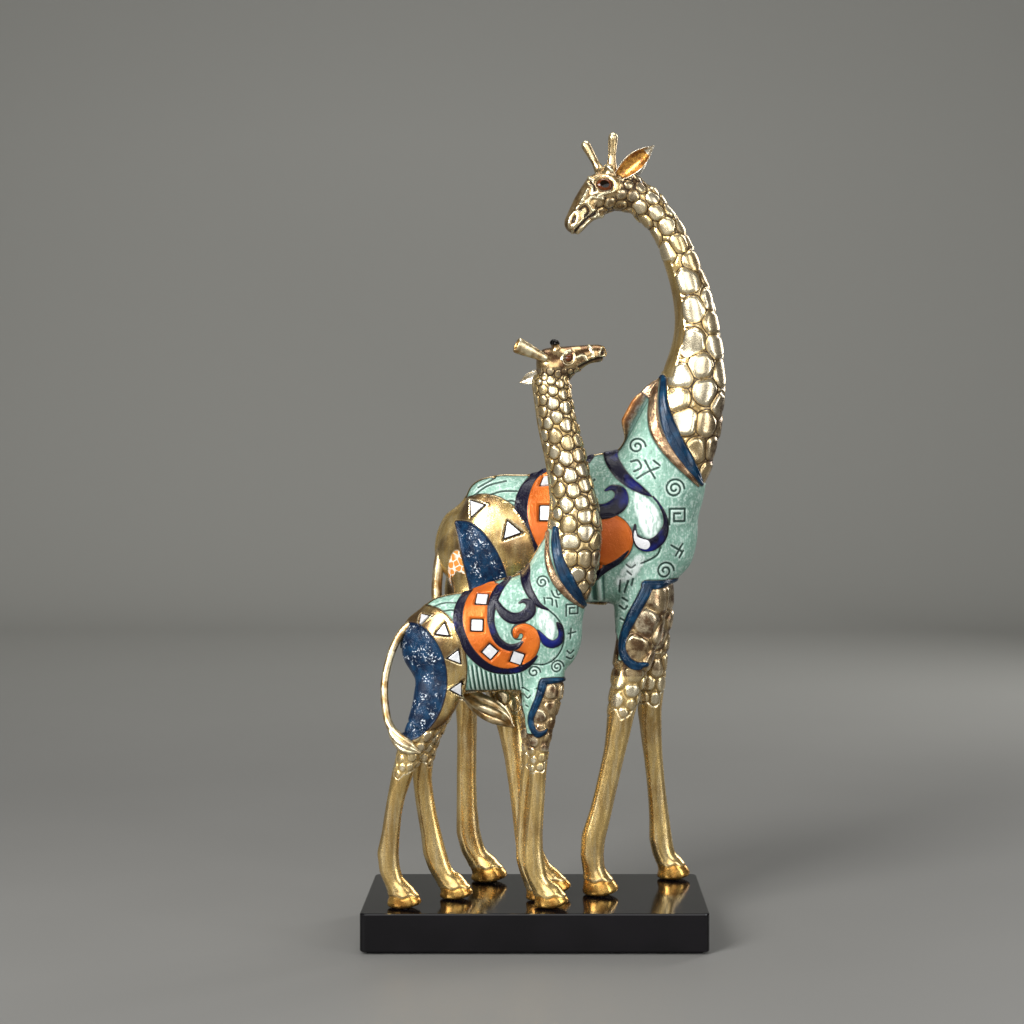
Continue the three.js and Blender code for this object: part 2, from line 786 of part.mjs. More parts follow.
function feltGeometry() {
  return new THREE.ExtrudeGeometry(
    roundedRectangle(PLINTH_LENGTH - 2 * FELT_INSET, PLINTH_DEPTH - 2 * FELT_INSET, PLINTH_CORNER),
    { depth: FELT_THICKNESS, bevelEnabled: false, curveSegments: 4 }
  );
}

// A pan-head screw, head down, its shank reaching up into a hoof.
function screwGeometry() {
  const profile = [
    [0, SCREW_SEAT],
    [SCREW_HEAD * 0.8, SCREW_SEAT],
    [SCREW_HEAD, SCREW_SEAT + SCREW_HEAD_HEIGHT * 0.4],
    [SCREW_HEAD, SCREW_SEAT + SCREW_HEAD_HEIGHT],
    [SCREW_SHANK, SCREW_SEAT + SCREW_HEAD_HEIGHT],
    [SCREW_SHANK, PLINTH_TOP + SCREW_BITE - SCREW_SHANK],
    [0, PLINTH_TOP + SCREW_BITE],
  ].map(([radius, height]) => new THREE.Vector2(radius, height));
  const screw = new THREE.LatheGeometry(profile, 12);
  screw.rotateX(Math.PI / 2);
  return geometryOf(solid(screw));
}

addPiece("plinth", plinthGeometry(), MATERIALS.lacquer);
addPiece("felt_pad", feltGeometry(), MATERIALS.felt);
for (const { name, x, y } of screwSpots()) {
  const screw = screwGeometry();
  screw.translate(x, y, 0);
  addPiece(name, screw, MATERIALS.steel);
}
for (const animal of ANIMALS) {
  addAnimal(animal);
}

export default model;
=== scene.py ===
# A mother giraffe and her calf, cast in resin, gilded and painted, on a gloss black plinth.
#
# Lengths in the tables are millimetres. A place on an animal is (x, height), where x is the
# model's X and height is measured up from the top of the plinth. Blender's own lengths are
# metres, and MM turns one into the other.

import math

import bpy
import numpy as np
import openvdb as vdb
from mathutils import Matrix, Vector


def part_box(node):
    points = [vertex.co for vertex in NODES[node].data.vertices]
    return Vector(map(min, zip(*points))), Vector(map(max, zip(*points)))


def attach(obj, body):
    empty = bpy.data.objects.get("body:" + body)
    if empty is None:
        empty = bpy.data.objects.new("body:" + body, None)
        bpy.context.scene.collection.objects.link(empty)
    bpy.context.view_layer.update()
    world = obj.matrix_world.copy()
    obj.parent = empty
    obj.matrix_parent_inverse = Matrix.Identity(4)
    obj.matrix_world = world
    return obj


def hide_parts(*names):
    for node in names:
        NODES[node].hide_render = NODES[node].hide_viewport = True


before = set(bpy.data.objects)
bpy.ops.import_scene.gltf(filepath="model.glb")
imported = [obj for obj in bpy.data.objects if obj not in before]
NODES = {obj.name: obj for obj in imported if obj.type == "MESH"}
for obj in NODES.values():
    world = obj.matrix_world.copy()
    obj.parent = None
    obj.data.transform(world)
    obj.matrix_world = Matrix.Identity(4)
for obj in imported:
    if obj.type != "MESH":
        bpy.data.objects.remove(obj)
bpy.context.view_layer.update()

MM = 0.001
PLINTH_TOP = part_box("plinth")[1][2] / MM
COARSE = 1.0
FAR = 9.0  # mm, the largest distance that a painted field keeps

# ---------------- the two animals

# Rows of three are (x, height, half width). Ellipses are (x, height, half length, half width,
# degrees). The rest: "pebbles" (height, radius), "ribs" (first x, last x, low, high, pitch),
# "head_pebbles" (from x, under height, distance from the eye, to x), "mane" (half width, top,
# foot of the painted crest) and "knob" (x, height, radius). The mother's knob and the calf's
# crest are out of reach, because they have none.

MOTHER = {
    "name": "mother",
    "voxel": 0.66,
    "scale": 1.4256,          # the flank pattern is drawn for the calf and enlarged for her
    "origin": (-8.0, 212.5),  # where the pattern's own origin falls on her flank
    "haunch": (-26.0, 167.5, 27.0, 35.0, 0),
    "belly": 147.0,
    "patch": [(-39.5, 187.5, 1), (-34, 183, 5), (-29, 174, 8), (-25, 163, 9.5), (-22, 150, 9.5),
              (-20, 138, 8), (-21, 126, 5), (-24, 116, 1)],
    "collar": [(65.5, 262, 1), (65, 250, 2), (66.5, 241, 3), (69, 233.5, 3.5), (73, 226, 3.5),
               (77.5, 219, 3), (82, 212.5, 2), (85, 207.5, 0.8)],
    "braid": [(63, 262, 0.8), (60.5, 252, 1.8), (60, 242, 2.6), (61.5, 234, 2.8), (66, 226, 2.6),
              (72, 218.5, 2), (78, 212, 1.2), (83, 206.5, 0.4)],
    "bar": [(74, 158.5, 0.6), (64, 156.8, 1.8), (56, 156.5, 2.2)],
    "sleeve": [(57, 156, 2.5), (53.5, 149, 2.6), (48.5, 140, 2.4), (44.8, 131, 1.7),
               (44, 124, 1.8), (46.5, 118.5, 2), (51, 116, 1.9), (56, 116.5, 1)],
    "strip": [(38, 147), (39.5, 138), (42, 128), (42, 118)],
    "ribs": (-6.0, 36.0, 147.0, 165.0, 5.6),
    "pebbles": [(368, 2.5), (356, 3.2), (345, 4.2), (330, 5.1), (310, 6.1), (290, 6.8), (235, 6.9),
                (205, 6.2), (140, 8.0), (120, 6.0), (104, 4.0), (90, 2.6)],
    "throat": [(70, 262), (76.5, 284), (74.5, 304), (69, 322)],
    "pebbled_above": 92.0,
    "hoof": 8.0,
    "fold_height": 0.75,
    "knee": 60.0,
    "eye": (35.2, 359.6, 4.0, 3.1, -12),
    "nostril": (19.4, 341.4, 1.6, 0.7, 68),
    "creases": [[(30.6, 345.2), (26.6, 342.2), (23, 338.4), (20.2, 335.4)],
                [(22.4, 346.6), (25.4, 348.4), (27.2, 345.4), (25.4, 343.2)],
                [(28, 361.2), (29.8, 358.6), (30.2, 356)]],
    "folds": [[(27.4, 364), (29.4, 359), (30.2, 355.6), (33.4, 354.4), (37.6, 356)],
              [(26, 350.6), (29, 353), (34.6, 352.4)], [(33, 368.6), (36.4, 369.4), (39, 366.6)],
              [(28.4, 343.2), (33, 344.6), (39, 344)], [(23, 349.4), (26.6, 356.6)]],
    "head_pebbles": (30.6, 366.0, 3.4, 60.0),
    "mane": (1.9, 262.0, 229.0),
    "knob": (10.0, 500.0, 1.0),
    "head_paint": 0.75,
}

CALF = {
    "name": "calf",
    "voxel": 0.47,
    "scale": 1.0,
    "origin": (-38.1, 155.7),
    "haunch": (-52.5, 118.0, 19.5, 30.0, 0),
    "belly": 106.5,
    "patch": [(-61.5, 138, 1), (-60, 134, 5.5), (-58, 129, 9), (-55.5, 120, 11.5),
              (-54.7, 110, 11.5), (-56, 100, 10), (-58.8, 92, 7.2), (-61.5, 86.5, 3.6), (-64, 83.5, 0.8)],
    "collar": [(10, 186, 1.2), (10.3, 179, 2), (11.8, 171, 2.4), (15, 163.5, 3), (18.8, 157, 2.6),
               (22.5, 151.5, 1.8), (25.5, 147.5, 0.6)],
    "braid": [(6.6, 184, 0.6), (6, 176, 1), (7, 168.5, 1.5), (10.5, 160.5, 1.7), (16, 154, 1.4),
              (21, 149.5, 0.8), (24, 147, 0.3)],
    "bar": [(17, 111.8, 0.8), (10, 112, 1.3), (4, 111.5, 1.5)],
    "sleeve": [(4, 110.5, 2), (2.2, 104, 1.6), (-0.3, 98, 1.5), (-2, 93, 1.3), (-1, 88.5, 1.3),
               (1.5, 85.7, 1.5), (4.5, 86.6, 1), (6, 88, 0.4)],
    "strip": [(-7, 106.5), (-6.5, 98), (-5, 92), (-4, 86)],
    "ribs": (-33.0, -5.0, 106.0, 121.0, 2.15),
    "pebbles": [(268, 1.7), (260, 2.2), (250, 2.9), (225, 3.3), (200, 3.8), (170, 4.5), (150, 4.2),
                (104, 4.4), (92, 3.4), (80, 2.8), (66, 2.0)],
    "throat": [(-40, 150), (-40, 260)],
    "pebbled_above": 67.0,
    "hoof": 6.2,
    "fold_height": 0.4,
    "knee": 45.0,
    "eye": (16.8, 270.1, 1.8, 1.5, 60),
    "nostril": (33.6, 272.8, 0.9, 0.5, 70),
    "creases": [[(22, 265.6), (25.6, 267.6), (29.6, 269.4), (34.4, 270.2)]],
    "folds": [[(26.6, 276.6), (28.2, 273.4), (28.8, 270)], [(13.4, 269.4), (14.6, 272.4), (17.4, 273.6)],
              [(21, 270.4), (23.4, 271.4), (25.4, 269.4)]],
    "head_pebbles": (-20.0, 265.0, 2.2, 23.0),
    "knob": (10.2, 278.9, 2.7),
    "mane": (1.2, 262.0, 999.0),
    "head_paint": 0.98,
}

# ---------------- the flank pattern

# Brush strokes as (x, height, half width) along their middles. Both animals carry these; they are
# drawn on the calf and enlarged for the mother.
BAND_ORANGE = [(-17.5, 158, 0.6), (-21.5, 156.8, 2.2), (-26.5, 153.5, 4.6), (-29, 147, 5.9),
               (-29.2, 139.5, 6.1), (-26.5, 131.5, 6.2), (-21.3, 125.4, 5.6), (-13.5, 122.4, 4.9),
               (-6, 124, 5.2)]
BAND_NAVY = [
    [(-27.5, 157, 0.4), (-33.5, 154, 1.3), (-37, 147.5, 2.1), (-37.3, 139.5, 2.2),
     (-34.3, 131, 2.1), (-29, 123.6, 2), (-22, 118.4, 1.8), (-14, 116.6, 1.4), (-7, 117.8, 1.5),
     (-2, 120.8, 1.1), (1, 124, 0.4)],
    [(-11.8, 162, 0.4), (-16.8, 157.2, 1.5), (-20.3, 151, 2.1), (-21.4, 144, 1.6),
     (-20.6, 137.6, 1.5), (-17.8, 131.8, 1.6), (-13, 128.6, 1.5), (-9, 129, 1.3), (-6, 131.2, 0.3)],
    [(-19, 151, 0.8), (-16.2, 146.2, 1.9), (-12, 143, 2.5), (-7, 142.8, 2.6), (-2.6, 145.6, 2.7),
     (-2.2, 149.3, 1.9), (-5, 151, 0.9), (-7.6, 150, 0.3)],
]

# What each animal carries of its own, in its own millimetres, and how many rows of the shared
# strokes it keeps. Spirals are (x, height, radius, turns) and square ones (x, height, half side).
CALF_MARKS = {
    "shared_rows": (9, (11, 9, 8)),
    "orange": [[(-6, 124, 5.2), (-2.4, 129.5, 4.6), (-2, 134.5, 3.6), (-5, 137.6, 2.4), (-8.6, 136.8, 1.9),
                (-9.3, 134.3, 1.3)]],
    "navy": [
        [(-3.4, 168, 0.9), (-4.5, 165, 2.2), (-4.6, 161, 2.2), (-3.2, 156.6, 1.9), (-0.8, 152.5, 1.6),
         (2, 149.2, 1.1), (6.5, 146.8, 0.3)],
        [(1.5, 136.8, 0.3), (3.4, 134, 1.1), (5.6, 131, 1.8), (9, 129.8, 1.8), (12.2, 131.6, 1.7),
         (13, 135, 1.3), (12.4, 138.2, 1.3), (11, 140.2, 0.4)],
    ],
    "white": [],
    "leaf": [[(2.5, 147, 1), (4.5, 142.5, 4), (6.5, 137.5, 4), (8, 133.5, 2)]],
    "engraved": [
        [(6.5, 146.8), (10.5, 143.2), (13.4, 138.6), (14.4, 133), (13.2, 127), (9.6, 122.2),
         (4.6, 119.8), (-1, 120)],
        [(-4.5, 140.3), (-9.2, 139.6), (-11.3, 136), (-9.4, 132.6), (-6, 132.8), (-5.2, 135.4),
         (-6.8, 136.6), (-8, 135.6)],
        [(8.2, 156), (9.6, 153.2), (12, 152.6)], [(10.6, 156.2), (11.4, 154), (13.2, 155)],
        [(4.6, 152.6), (5, 149.6)], [(5.8, 152.4), (8.4, 152), (8.6, 148.8)], [(10.4, 151.4), (11, 148)],
        [(16.6, 134.6), (20.2, 135.2)], [(18, 137.2), (17.6, 132.2)],
        [(16, 126), (17.6, 124.6), (19.2, 126)], [(15.6, 123), (18, 121.8), (19.2, 123)],
        [(-5.6, 107.8), (-3, 106.6)], [(-5.4, 104.6), (-3.6, 103.2), (-2.2, 104.6)],
        [(-5.6, 100), (-3.4, 99)], [(-12, 118), (-10, 115.4)], [(1, 108), (3, 106.4)],
    ],
    "spirals": [(3.6, 160.2, 3.3, 1.6), (11, 118.4, 3.4, 1.8), (-0.4, 116, 3.2, 1.4)],
    "square_spirals": [(18.4, 146.2, 2.9)],
    "line": 0.2,
}
MOTHER_MARKS = {
    "shared_rows": (8, (7, 6, 8)),
    "orange": [[(36.3, 179.8, 12.8), (36.4, 179.6, 12.8)]],
    "navy": [
        [(47.5, 234.5, 0.8), (42, 229.5, 3), (38.6, 222, 3.4), (42, 214.5, 3.2), (47, 209, 2.6),
         (53, 204.8, 1.8), (58.5, 201.6, 0.3)],
        [(50.3, 187, 0.5), (50.2, 182, 1.3), (53.5, 177.6, 2.9), (58.5, 176.9, 3), (63.5, 180.5, 2.6),
         (66, 186.5, 1.4), (65.3, 192, 0.8), (62.5, 197.5, 0.4), (59.5, 201.2, 0.3)],
        [(15, 159.3, 2.6), (23.5, 158.4, 2.2), (30, 161, 1.7), (36, 165.2, 1.5), (42, 169, 1.3),
         (46.8, 174, 0.3)],
    ],
    "white": [[(50.2, 184, 0.4), (50.6, 180.6, 1), (53, 178, 2.2), (55.4, 177.2, 2.4)]],
    "leaf": [[(51, 203, 1), (54, 197, 4.5), (57.5, 190, 6), (58, 184, 4)],
             [(42, 158, 2), (48, 164, 4), (53, 170, 3)]],
    "engraved": [
        [(55.5, 219.5), (58, 214.8), (60.5, 210.5)], [(51.5, 210.5), (57, 213.8), (62.5, 216)],
        [(48.5, 219), (52, 219.5), (53.5, 216), (50, 214)], [(60, 219.4), (63, 217)],
        [(69, 176.5), (74.5, 173.2)], [(75, 177), (71.5, 171)], [(75.4, 173.4), (73.5, 170)],
        [(43, 159), (42.5, 153)], [(47, 158.5), (45, 153)], [(49.4, 159.6), (48.6, 156.4)],
        [(46, 167), (48.4, 165.4), (50.6, 166.8)], [(46.4, 163.6), (48.6, 161.8)],
        [(63.5, 175.5), (62, 172), (58.5, 169.5), (53.5, 167.5)],
        [(44, 150), (46.6, 148.6)], [(42.6, 146), (45, 144.4), (46.4, 146)], [(43, 139.6), (45.6, 138.4)],
        [(22, 217), (25.6, 214.6)], [(24, 210), (27.4, 208), (30, 210)],
    ],
    "spirals": [(51.5, 226.8, 4.4, 1.5), (70.5, 205.3, 5.2, 1.9), (66, 163.4, 4.8, 1.6)],
    "square_spirals": [(72, 191, 4.0)],
    "line": 0.3,
}
# Veins that fan out over each rump, as (x, height) pairs on the calf
RUMP_FAN = [[(-57, 146), (-50, 151.4), (-43, 153.4)], [(-52, 147), (-45, 149.6), (-39, 149.8)],
            [(-46, 145.6), (-41, 146.4), (-38.6, 145.6)], [(-53, 151), (-47, 154.4)],
            [(-36, 153), (-33.6, 156.4)]]


def smooth_curve(points, per_span=8):
    """Catmull-Rom through rows of numbers, so that widths run smoothly too."""
    rows = np.array(points, float)
    rows = np.vstack([2 * rows[0] - rows[1], rows, 2 * rows[-1] - rows[-2]])
    t = np.linspace(0, 1, per_span, endpoint=False)[:, None]
    spans = []
    for a, b, c, d in zip(rows[:-3], rows[1:-2], rows[2:-1], rows[3:]):
        spans.append(0.5 * (2 * b + (c - a) * t + (2 * a - 5 * b + 4 * c - d) * t ** 2
                            + (3 * b - a - 3 * c + d) * t ** 3))
    return np.vstack(spans + [rows[-2][None]])


def stroke_distance(places, curve):
    """Distance in mm outside a tapering stroke, negative inside, kept within +-FAR."""
    out = np.full(len(places), FAR)
    reach = FAR + curve[:, 2].max()
    low, high = curve[:, :2].min(0) - reach, curve[:, :2].max(0) + reach
    near = np.nonzero(((places > low) & (places < high)).all(1))[0]
    p = places[near]
    best = np.full(len(near), FAR)
    for (x0, h0, w0), (x1, h1, w1) in zip(curve[:-1], curve[1:]):
        dx, dh = x1 - x0, h1 - h0
        along = ((p[:, 0] - x0) * dx + (p[:, 1] - h0) * dh) / max(dx * dx + dh * dh, 1e-9)
        along = np.clip(along, 0, 1)
        gap = np.hypot(p[:, 0] - x0 - along * dx, p[:, 1] - h0 - along * dh)
        best = np.minimum(best, gap - (w0 + (w1 - w0) * along))
    out[near] = best
    return out


def thin(points, half_width, per_span=6):
    """An engraved line of one width through the points."""
    return smooth_curve([(x, h, half_width) for x, h in points], per_span)


def spiral(x, h, radius, turns, half_width):
    angles = np.linspace(0, turns * 2 * math.pi, 36)
    radii = radius * (1 - 0.82 * angles / angles[-1])
    return np.column_stack([x + radii * np.cos(angles), h + radii * np.sin(angles),
                            np.full(36, half_width)])


def square_spiral(x, h, half, half_width):
    corners = [(-1, -1), (-1, 1), (1, 1), (1, -0.6), (-0.4, -0.6), (-0.4, 0.4), (0.4, 0.4)]
    return np.array([(x + half * a, h + half * b, half_width) for a, b in corners])


def nearest(places, curves):
    return np.minimum.reduce([np.full(len(places), FAR)] + [stroke_distance(places, c) for c in curves])


# ---------------- level sets

def mesh_arrays(obj):
    mesh = obj.data
    points = np.empty(len(mesh.vertices) * 3, np.float32)
    mesh.vertices.foreach_get("co", points)
    mesh.calc_loop_triangles()
    triangles = np.empty(len(mesh.loop_triangles) * 3, np.int32)
    mesh.loop_triangles.foreach_get("vertices", triangles)
    return points.reshape(-1, 3) / MM, triangles.reshape(-1, 3)


def level_set(node, voxel, band):
    """Signed distance in mm around a CAD node: (first index, array)."""
    points, triangles = mesh_arrays(NODES[node])
    grid = vdb.FloatGrid.createLevelSetFromPolygons(
        points, triangles=triangles.astype(np.uint32),
        transform=vdb.createLinearTransform(voxelSize=voxel), halfWidth=band / voxel)
    low = np.floor(points.min(0) / voxel).astype(int) - int(band / voxel) - 2
    high = np.ceil(points.max(0) / voxel).astype(int) + int(band / voxel) + 3
    values = np.zeros(high - low, np.float32)
    grid.copyToArray(values, ijk=tuple(int(v) for v in low))
    return low, values


def blurred(values, sigma):
    """Gaussian blur along the three axes, sigma in voxels."""
    radius = int(math.ceil(2.6 * sigma))
    weights = np.exp(-0.5 * (np.arange(-radius, radius + 1) / sigma) ** 2)
    weights /= weights.sum()
    for axis in range(3):
        padded = np.pad(values, [(radius, radius) if a == axis else (0, 0) for a in range(3)],
                        mode="edge")
        total = np.zeros_like(values)
        size = values.shape[axis]
        for shift, weight in enumerate(weights):
            window = [slice(None)] * 3
            window[axis] = slice(shift, shift + size)
            total += np.float32(weight) * padded[tuple(window)]
        values = total
    return values


def sample(field, voxel, points, outside):
    """Trilinear value of (first index, array) at points in mm."""
    low, values = field
    place = points / voxel - low
    cell = np.floor(place).astype(int)
    inside = ((cell >= 0) & (cell < np.array(values.shape) - 1)).all(1)
    out = np.full(len(points), outside, np.float32)
    c, f = cell[inside], (place - cell)[inside].astype(np.float32)
    total = np.zeros(len(c), np.float32)
    for corner in range(8):
        bits = np.array([corner & 1, corner >> 1 & 1, corner >> 2 & 1])
        weight = np.prod(np.where(bits, f, 1 - f), axis=1)
        i, j, k = (c + bits).T
        total += weight * values[i, j, k]
    out[inside] = total
    return out


def faces_inward(points, faces):
    """True where a closed shell's corners run the wrong way round, seen from outside."""
    a, b, c = (points[faces[:, k]] for k in range(3))
    return np.einsum("ij,ij->i", np.cross(a, b), c).sum() < 0


def vertex_normals(points, quads):
    a, b, c, d = (points[quads[:, k]] for k in range(4))
    face = np.cross(c - a, d - b)
    total = np.zeros_like(points)
    for k in range(4):
        for axis in range(3):
            total[:, axis] += np.bincount(quads[:, k], face[:, axis], len(points))
    return total / np.maximum(np.linalg.norm(total, axis=1), 1e-9)[:, None]


# ---------------- skins

LEGS = ["leg_front_right", "leg_front_left", "leg_hind_right", "leg_hind_left"]
BODY = ["torso", "neck", "head"] + LEGS
FINE_BLUR = 1.05   # mm, keeps hooves, snouts and horns
BROAD_BLUR = 2.7   # mm, takes the facets out of barrels and thighs
BROAD_SWELL = 0.12  # mm, what the broad blur wears off
KNEE_FADE, HEAD_FADE = 30, 12  # mm over which the broad blur comes in above the knees and goes out
BAND = 4.0         # mm, how far round a node its distances are kept


CUFF = 5           # the row of a sleeve's line where it is lowest


def tile_nodes(animal):
    return sorted(n for n in NODES if n.startswith(animal["name"]) and "_tile_" in n)


def smooth_body(animal):
    """The animal as one smooth quad mesh, with the CAD piece that each vertex belongs to."""
    voxel = animal["voxel"] * COARSE
    names = [f"{animal['name']}_{part}" for part in BODY]
    fields = {name: level_set(name, voxel, BAND) for name in names + tile_nodes(animal)}
    low = np.min([f[0] for f in fields.values()], axis=0)
    high = np.max([f[0] + f[1].shape for f in fields.values()], axis=0)
    whole = np.full(high - low, BAND, np.float32)
    for first, values in fields.values():
        start = first - low
        window = tuple(slice(s, s + n) for s, n in zip(start, values.shape))
        whole[window] = np.minimum(whole[window], values)
    fine = blurred(whole, FINE_BLUR / voxel)
    broad = blurred(whole, BROAD_BLUR / voxel) - BROAD_SWELL
    broadness = broad_weight(animal, low, whole.shape, voxel)
    mixed = fine + (broad - fine) * broadness
    grid = vdb.FloatGrid(BAND)
    grid.copyFromArray(mixed, ijk=tuple(int(v) for v in low))
    grid.transform = vdb.createLinearTransform(voxelSize=voxel)
    points, quads = grid.convertToQuads()
    points, quads = points.astype(float), quads.astype(np.int64)
    points, quads = biggest_shell(points, quads)
    if faces_inward(points, quads):
        quads = quads[:, ::-1].copy()
    near = np.array([sample(fields[name], voxel, points, BAND) for name in names])
    return points, quads, near.argmin(0)


def broad_weight(animal, low, shape, voxel):
    """1 on the barrel, the neck and the thighs, 0 on the head and the lower legs."""
    heights = (np.arange(shape[2]) + low[2]) * voxel - PLINTH_TOP
    head_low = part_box(animal["name"] + "_head")[0][2] / MM - PLINTH_TOP
    rise = np.clip((heights - animal["knee"]) / KNEE_FADE, 0, 1)
    fall = np.clip((head_low - heights) / HEAD_FADE, 0, 1)
    return (rise * fall).astype(np.float32)[None, None, :]


def edges_of(faces):
    """Where each edge of the faces starts and ends."""
    return faces.ravel(), np.roll(faces, -1, axis=1).ravel()


def compacted(faces, count):
    """The vertices that the faces use, and the faces numbered by their place among them."""
    used = np.unique(faces)
    renumber = np.full(count, -1)
    renumber[used] = np.arange(len(used))
    return used, renumber[faces]


def component_labels(count, faces):
    """The smallest vertex number reachable from each vertex along the faces' edges."""
    a, b = edges_of(faces)
    label = np.arange(count)
    while True:
        before = label.copy()
        low = np.minimum(label[a], label[b])
        np.minimum.at(label, a, low)
        np.minimum.at(label, b, low)
        label = label[label]
        if (label == before).all():
            return label


def biggest_shell(points, quads):
    label = component_labels(len(points), quads)[quads[:, 0]]
    used, quads = compacted(quads[label == np.bincount(label).argmax()], len(points))
    return points[used], quads


def open_loops(quads):
    """Boundary loops of a patch of quads, as lists of vertices in the patch's own direction."""
    a, b = edges_of(quads)
    size = int(quads.max()) + 1
    open_edges = ~np.isin(a * size + b, b * size + a)
    following = {}
    for start, end in zip(a[open_edges].tolist(), b[open_edges].tolist()):
        following.setdefault(start, []).append(end)
    loops = []
    while following:
        first = next(iter(following))
        loop, at = [], first
        while at in following:
            loop.append(at)
            ends = following[at]
            step = ends.pop()
            if not ends:
                del following[at]
            at = step
        loops.append(loop)
    return loops


def face_pieces(quads, piece_of_vertex, count):
    """The piece of each quad, with stray islands given to the piece around them."""
    face = piece_of_vertex[quads[:, 0]]
    for _ in range(3):
        for piece in range(count):
            mine = np.nonzero(face == piece)[0]
            if not len(mine):
                continue
            patch = quads[mine]
            islands = component_labels(int(quads.max()) + 1, patch)[patch[:, 0]]
            main = np.bincount(islands).argmax()
            stray = mine[islands != main]
            if len(stray):
                touching = np.zeros((len(stray), count))
                owner = np.full(int(quads.max()) + 1, -1)
                others = face != piece
                owner[quads[others].ravel()] = np.repeat(face[others], 4)
                for k in range(4):
                    around = owner[quads[stray, k]]
                    known = around >= 0
                    touching[np.nonzero(known)[0], around[known]] += 1
                found = touching.sum(1) > 0
                face[stray[found]] = touching[found].argmax(1)
    return face


# ---------------- painted and carved fields

def brought_over(animal, rows):
    """Rows drawn on the calf's flank, brought to this animal's."""
    (own_x, own_h), (base_x, base_h) = animal["origin"], CALF["origin"]
    scale = animal["scale"]
    return [(own_x + scale * (x - base_x), own_h + scale * (h - base_h), *(scale * w for w in width))
            for x, h, *width in rows]


def interpolate(value, rows, key=1, out=0):
    ordered = sorted(rows, key=lambda row: row[key])
    return np.interp(value, [row[key] for row in ordered], [row[out] for row in ordered])


def soft_step(value, start, end):
    t = np.clip((value - start) / (end - start), 0, 1)
    return t * t * (3 - 2 * t)


def tile_frames(animal):
    """Each mirror tile's face: its corners in order, and the way it faces."""
    frames = []
    for node in tile_nodes(animal):
        points, triangles = mesh_arrays(NODES[node])
        outward = -1.0 if "_right_" in node else 1.0
        a, b, c = (points[triangles[:, k]] for k in range(3))
        cross = np.cross(b - a, c - a)
        area = np.linalg.norm(cross, axis=1)
        normals = cross / np.maximum(area, 1e-9)[:, None]
        facing = (area > area.max() * 0.6) & (normals[:, 1] * outward > 0.3)
        normal = normals[facing][0]
        unique = np.unique(points.round(3), axis=0)
        depth = unique @ normal
        face = unique[depth > depth.max() - 0.1]
        centre = face.mean(0)
        side = np.cross(normal, [0, 0, 1.0])
        side /= np.linalg.norm(side)
        up = np.cross(side, normal)
        angles = np.arctan2((face - centre) @ up, (face - centre) @ side)
        frames.append({"node": node, "corners": face[np.argsort(angles)], "centre": centre,
                       "normal": normal})
    return frames


def seat_distance(points, tile):
    """Distance outside a tile's outline, in its plane, and height above its face."""
    corners, normal, centre = tile["corners"], tile["normal"], tile["centre"]
    out = np.full(len(points), -FAR)
    for a, b in zip(corners, np.roll(corners, -1, axis=0)):
        edge = (b - a) / np.linalg.norm(b - a)
        away = np.cross(edge, normal)
        if (centre - a) @ away > 0:
            away = -away
        out = np.maximum(out, (points - a) @ away)
    return out, (points - centre) @ normal


MOST_PEBBLES = 4000
PEBBLE_TRIES = 26000
PACKING = 0.86      # how near two pebbles may be, as a share of their radii
CORNER_POWER = 2.2  # rounds the corners between three pebbles
CELL_BLOCK = 6000   # points taken at a time, to save memory


def scatter_seeds(points, spacing, rng):
    """Places spread over the points, each at least its own spacing from the others."""
    chosen, radii = np.empty((MOST_PEBBLES, 3)), np.empty(MOST_PEBBLES)
    count = 0
    for index in rng.permutation(len(points))[:PEBBLE_TRIES]:
        gap = np.linalg.norm(chosen[:count] - points[index], axis=1)
        if (gap > PACKING * (radii[:count] + spacing[index])).all():
            chosen[count], radii[count] = points[index], spacing[index]
            count += 1
            if count == MOST_PEBBLES:
                break
    return chosen[:count], radii[:count]


def cells(points, seeds, radii):
    """Distance in mm to the border between pebbles, rounded at its corners, and their number."""
    border, number = np.empty(len(points)), np.empty(len(points), int)
    power = -CORNER_POWER
    for start in range(0, len(points), CELL_BLOCK):
        block = points[start:start + CELL_BLOCK]
        gap = np.linalg.norm(block[:, None] - seeds[None], axis=2) - radii[None]
        order = np.argpartition(gap, 2, axis=1)[:, :3]
        three = np.take_along_axis(gap, order, 1)
        rank = three.argsort(1)
        rows = np.arange(len(block))[:, None]
        first, second, third = three[rows, rank].T
        near, next_near = (second - first) / 2 + 1e-4, (third - first) / 2 + 1e-4
        border[start:start + CELL_BLOCK] = (near ** power + next_near ** power) ** (1 / power)
        number[start:start + CELL_BLOCK] = order[rows, rank][:, 0]
    return border, number


def settled_seeds(points, spacing, rng):
    """Scattered seeds moved twice to the middles of their own cells, which evens them out."""
    seeds, radii = scatter_seeds(points, spacing, rng)
    for _ in range(2):
        number = cells(points, seeds, radii)[1]
        count = np.maximum(np.bincount(number, minlength=len(seeds)), 1)
        for axis in range(3):
            middle = np.bincount(number, points[:, axis], len(seeds)) / count
            seeds[:, axis] = np.where(count > 1, middle, seeds[:, axis])
    return seeds, radii


def ellipse_distance(places, shape):
    """Distance in mm outside an ellipse (x, height, half length, half width, degrees)."""
    x, h, length, width, degrees = shape
    cos, sin = math.cos(math.radians(degrees)), math.sin(math.radians(degrees))
    along = (places[:, 0] - x) * cos + (places[:, 1] - h) * sin
    across = (places[:, 1] - h) * cos - (places[:, 0] - x) * sin
    radius = np.hypot(along / length, across / width)
    return (radius - 1) * min(length, width)


MANE_SLICE = 4  # mm, how finely the middle of the back is found


def on_parts(piece, *parts):
    """True at the points that belong to any of the named parts."""
    return np.isin(piece, [BODY.index(part) for part in parts])


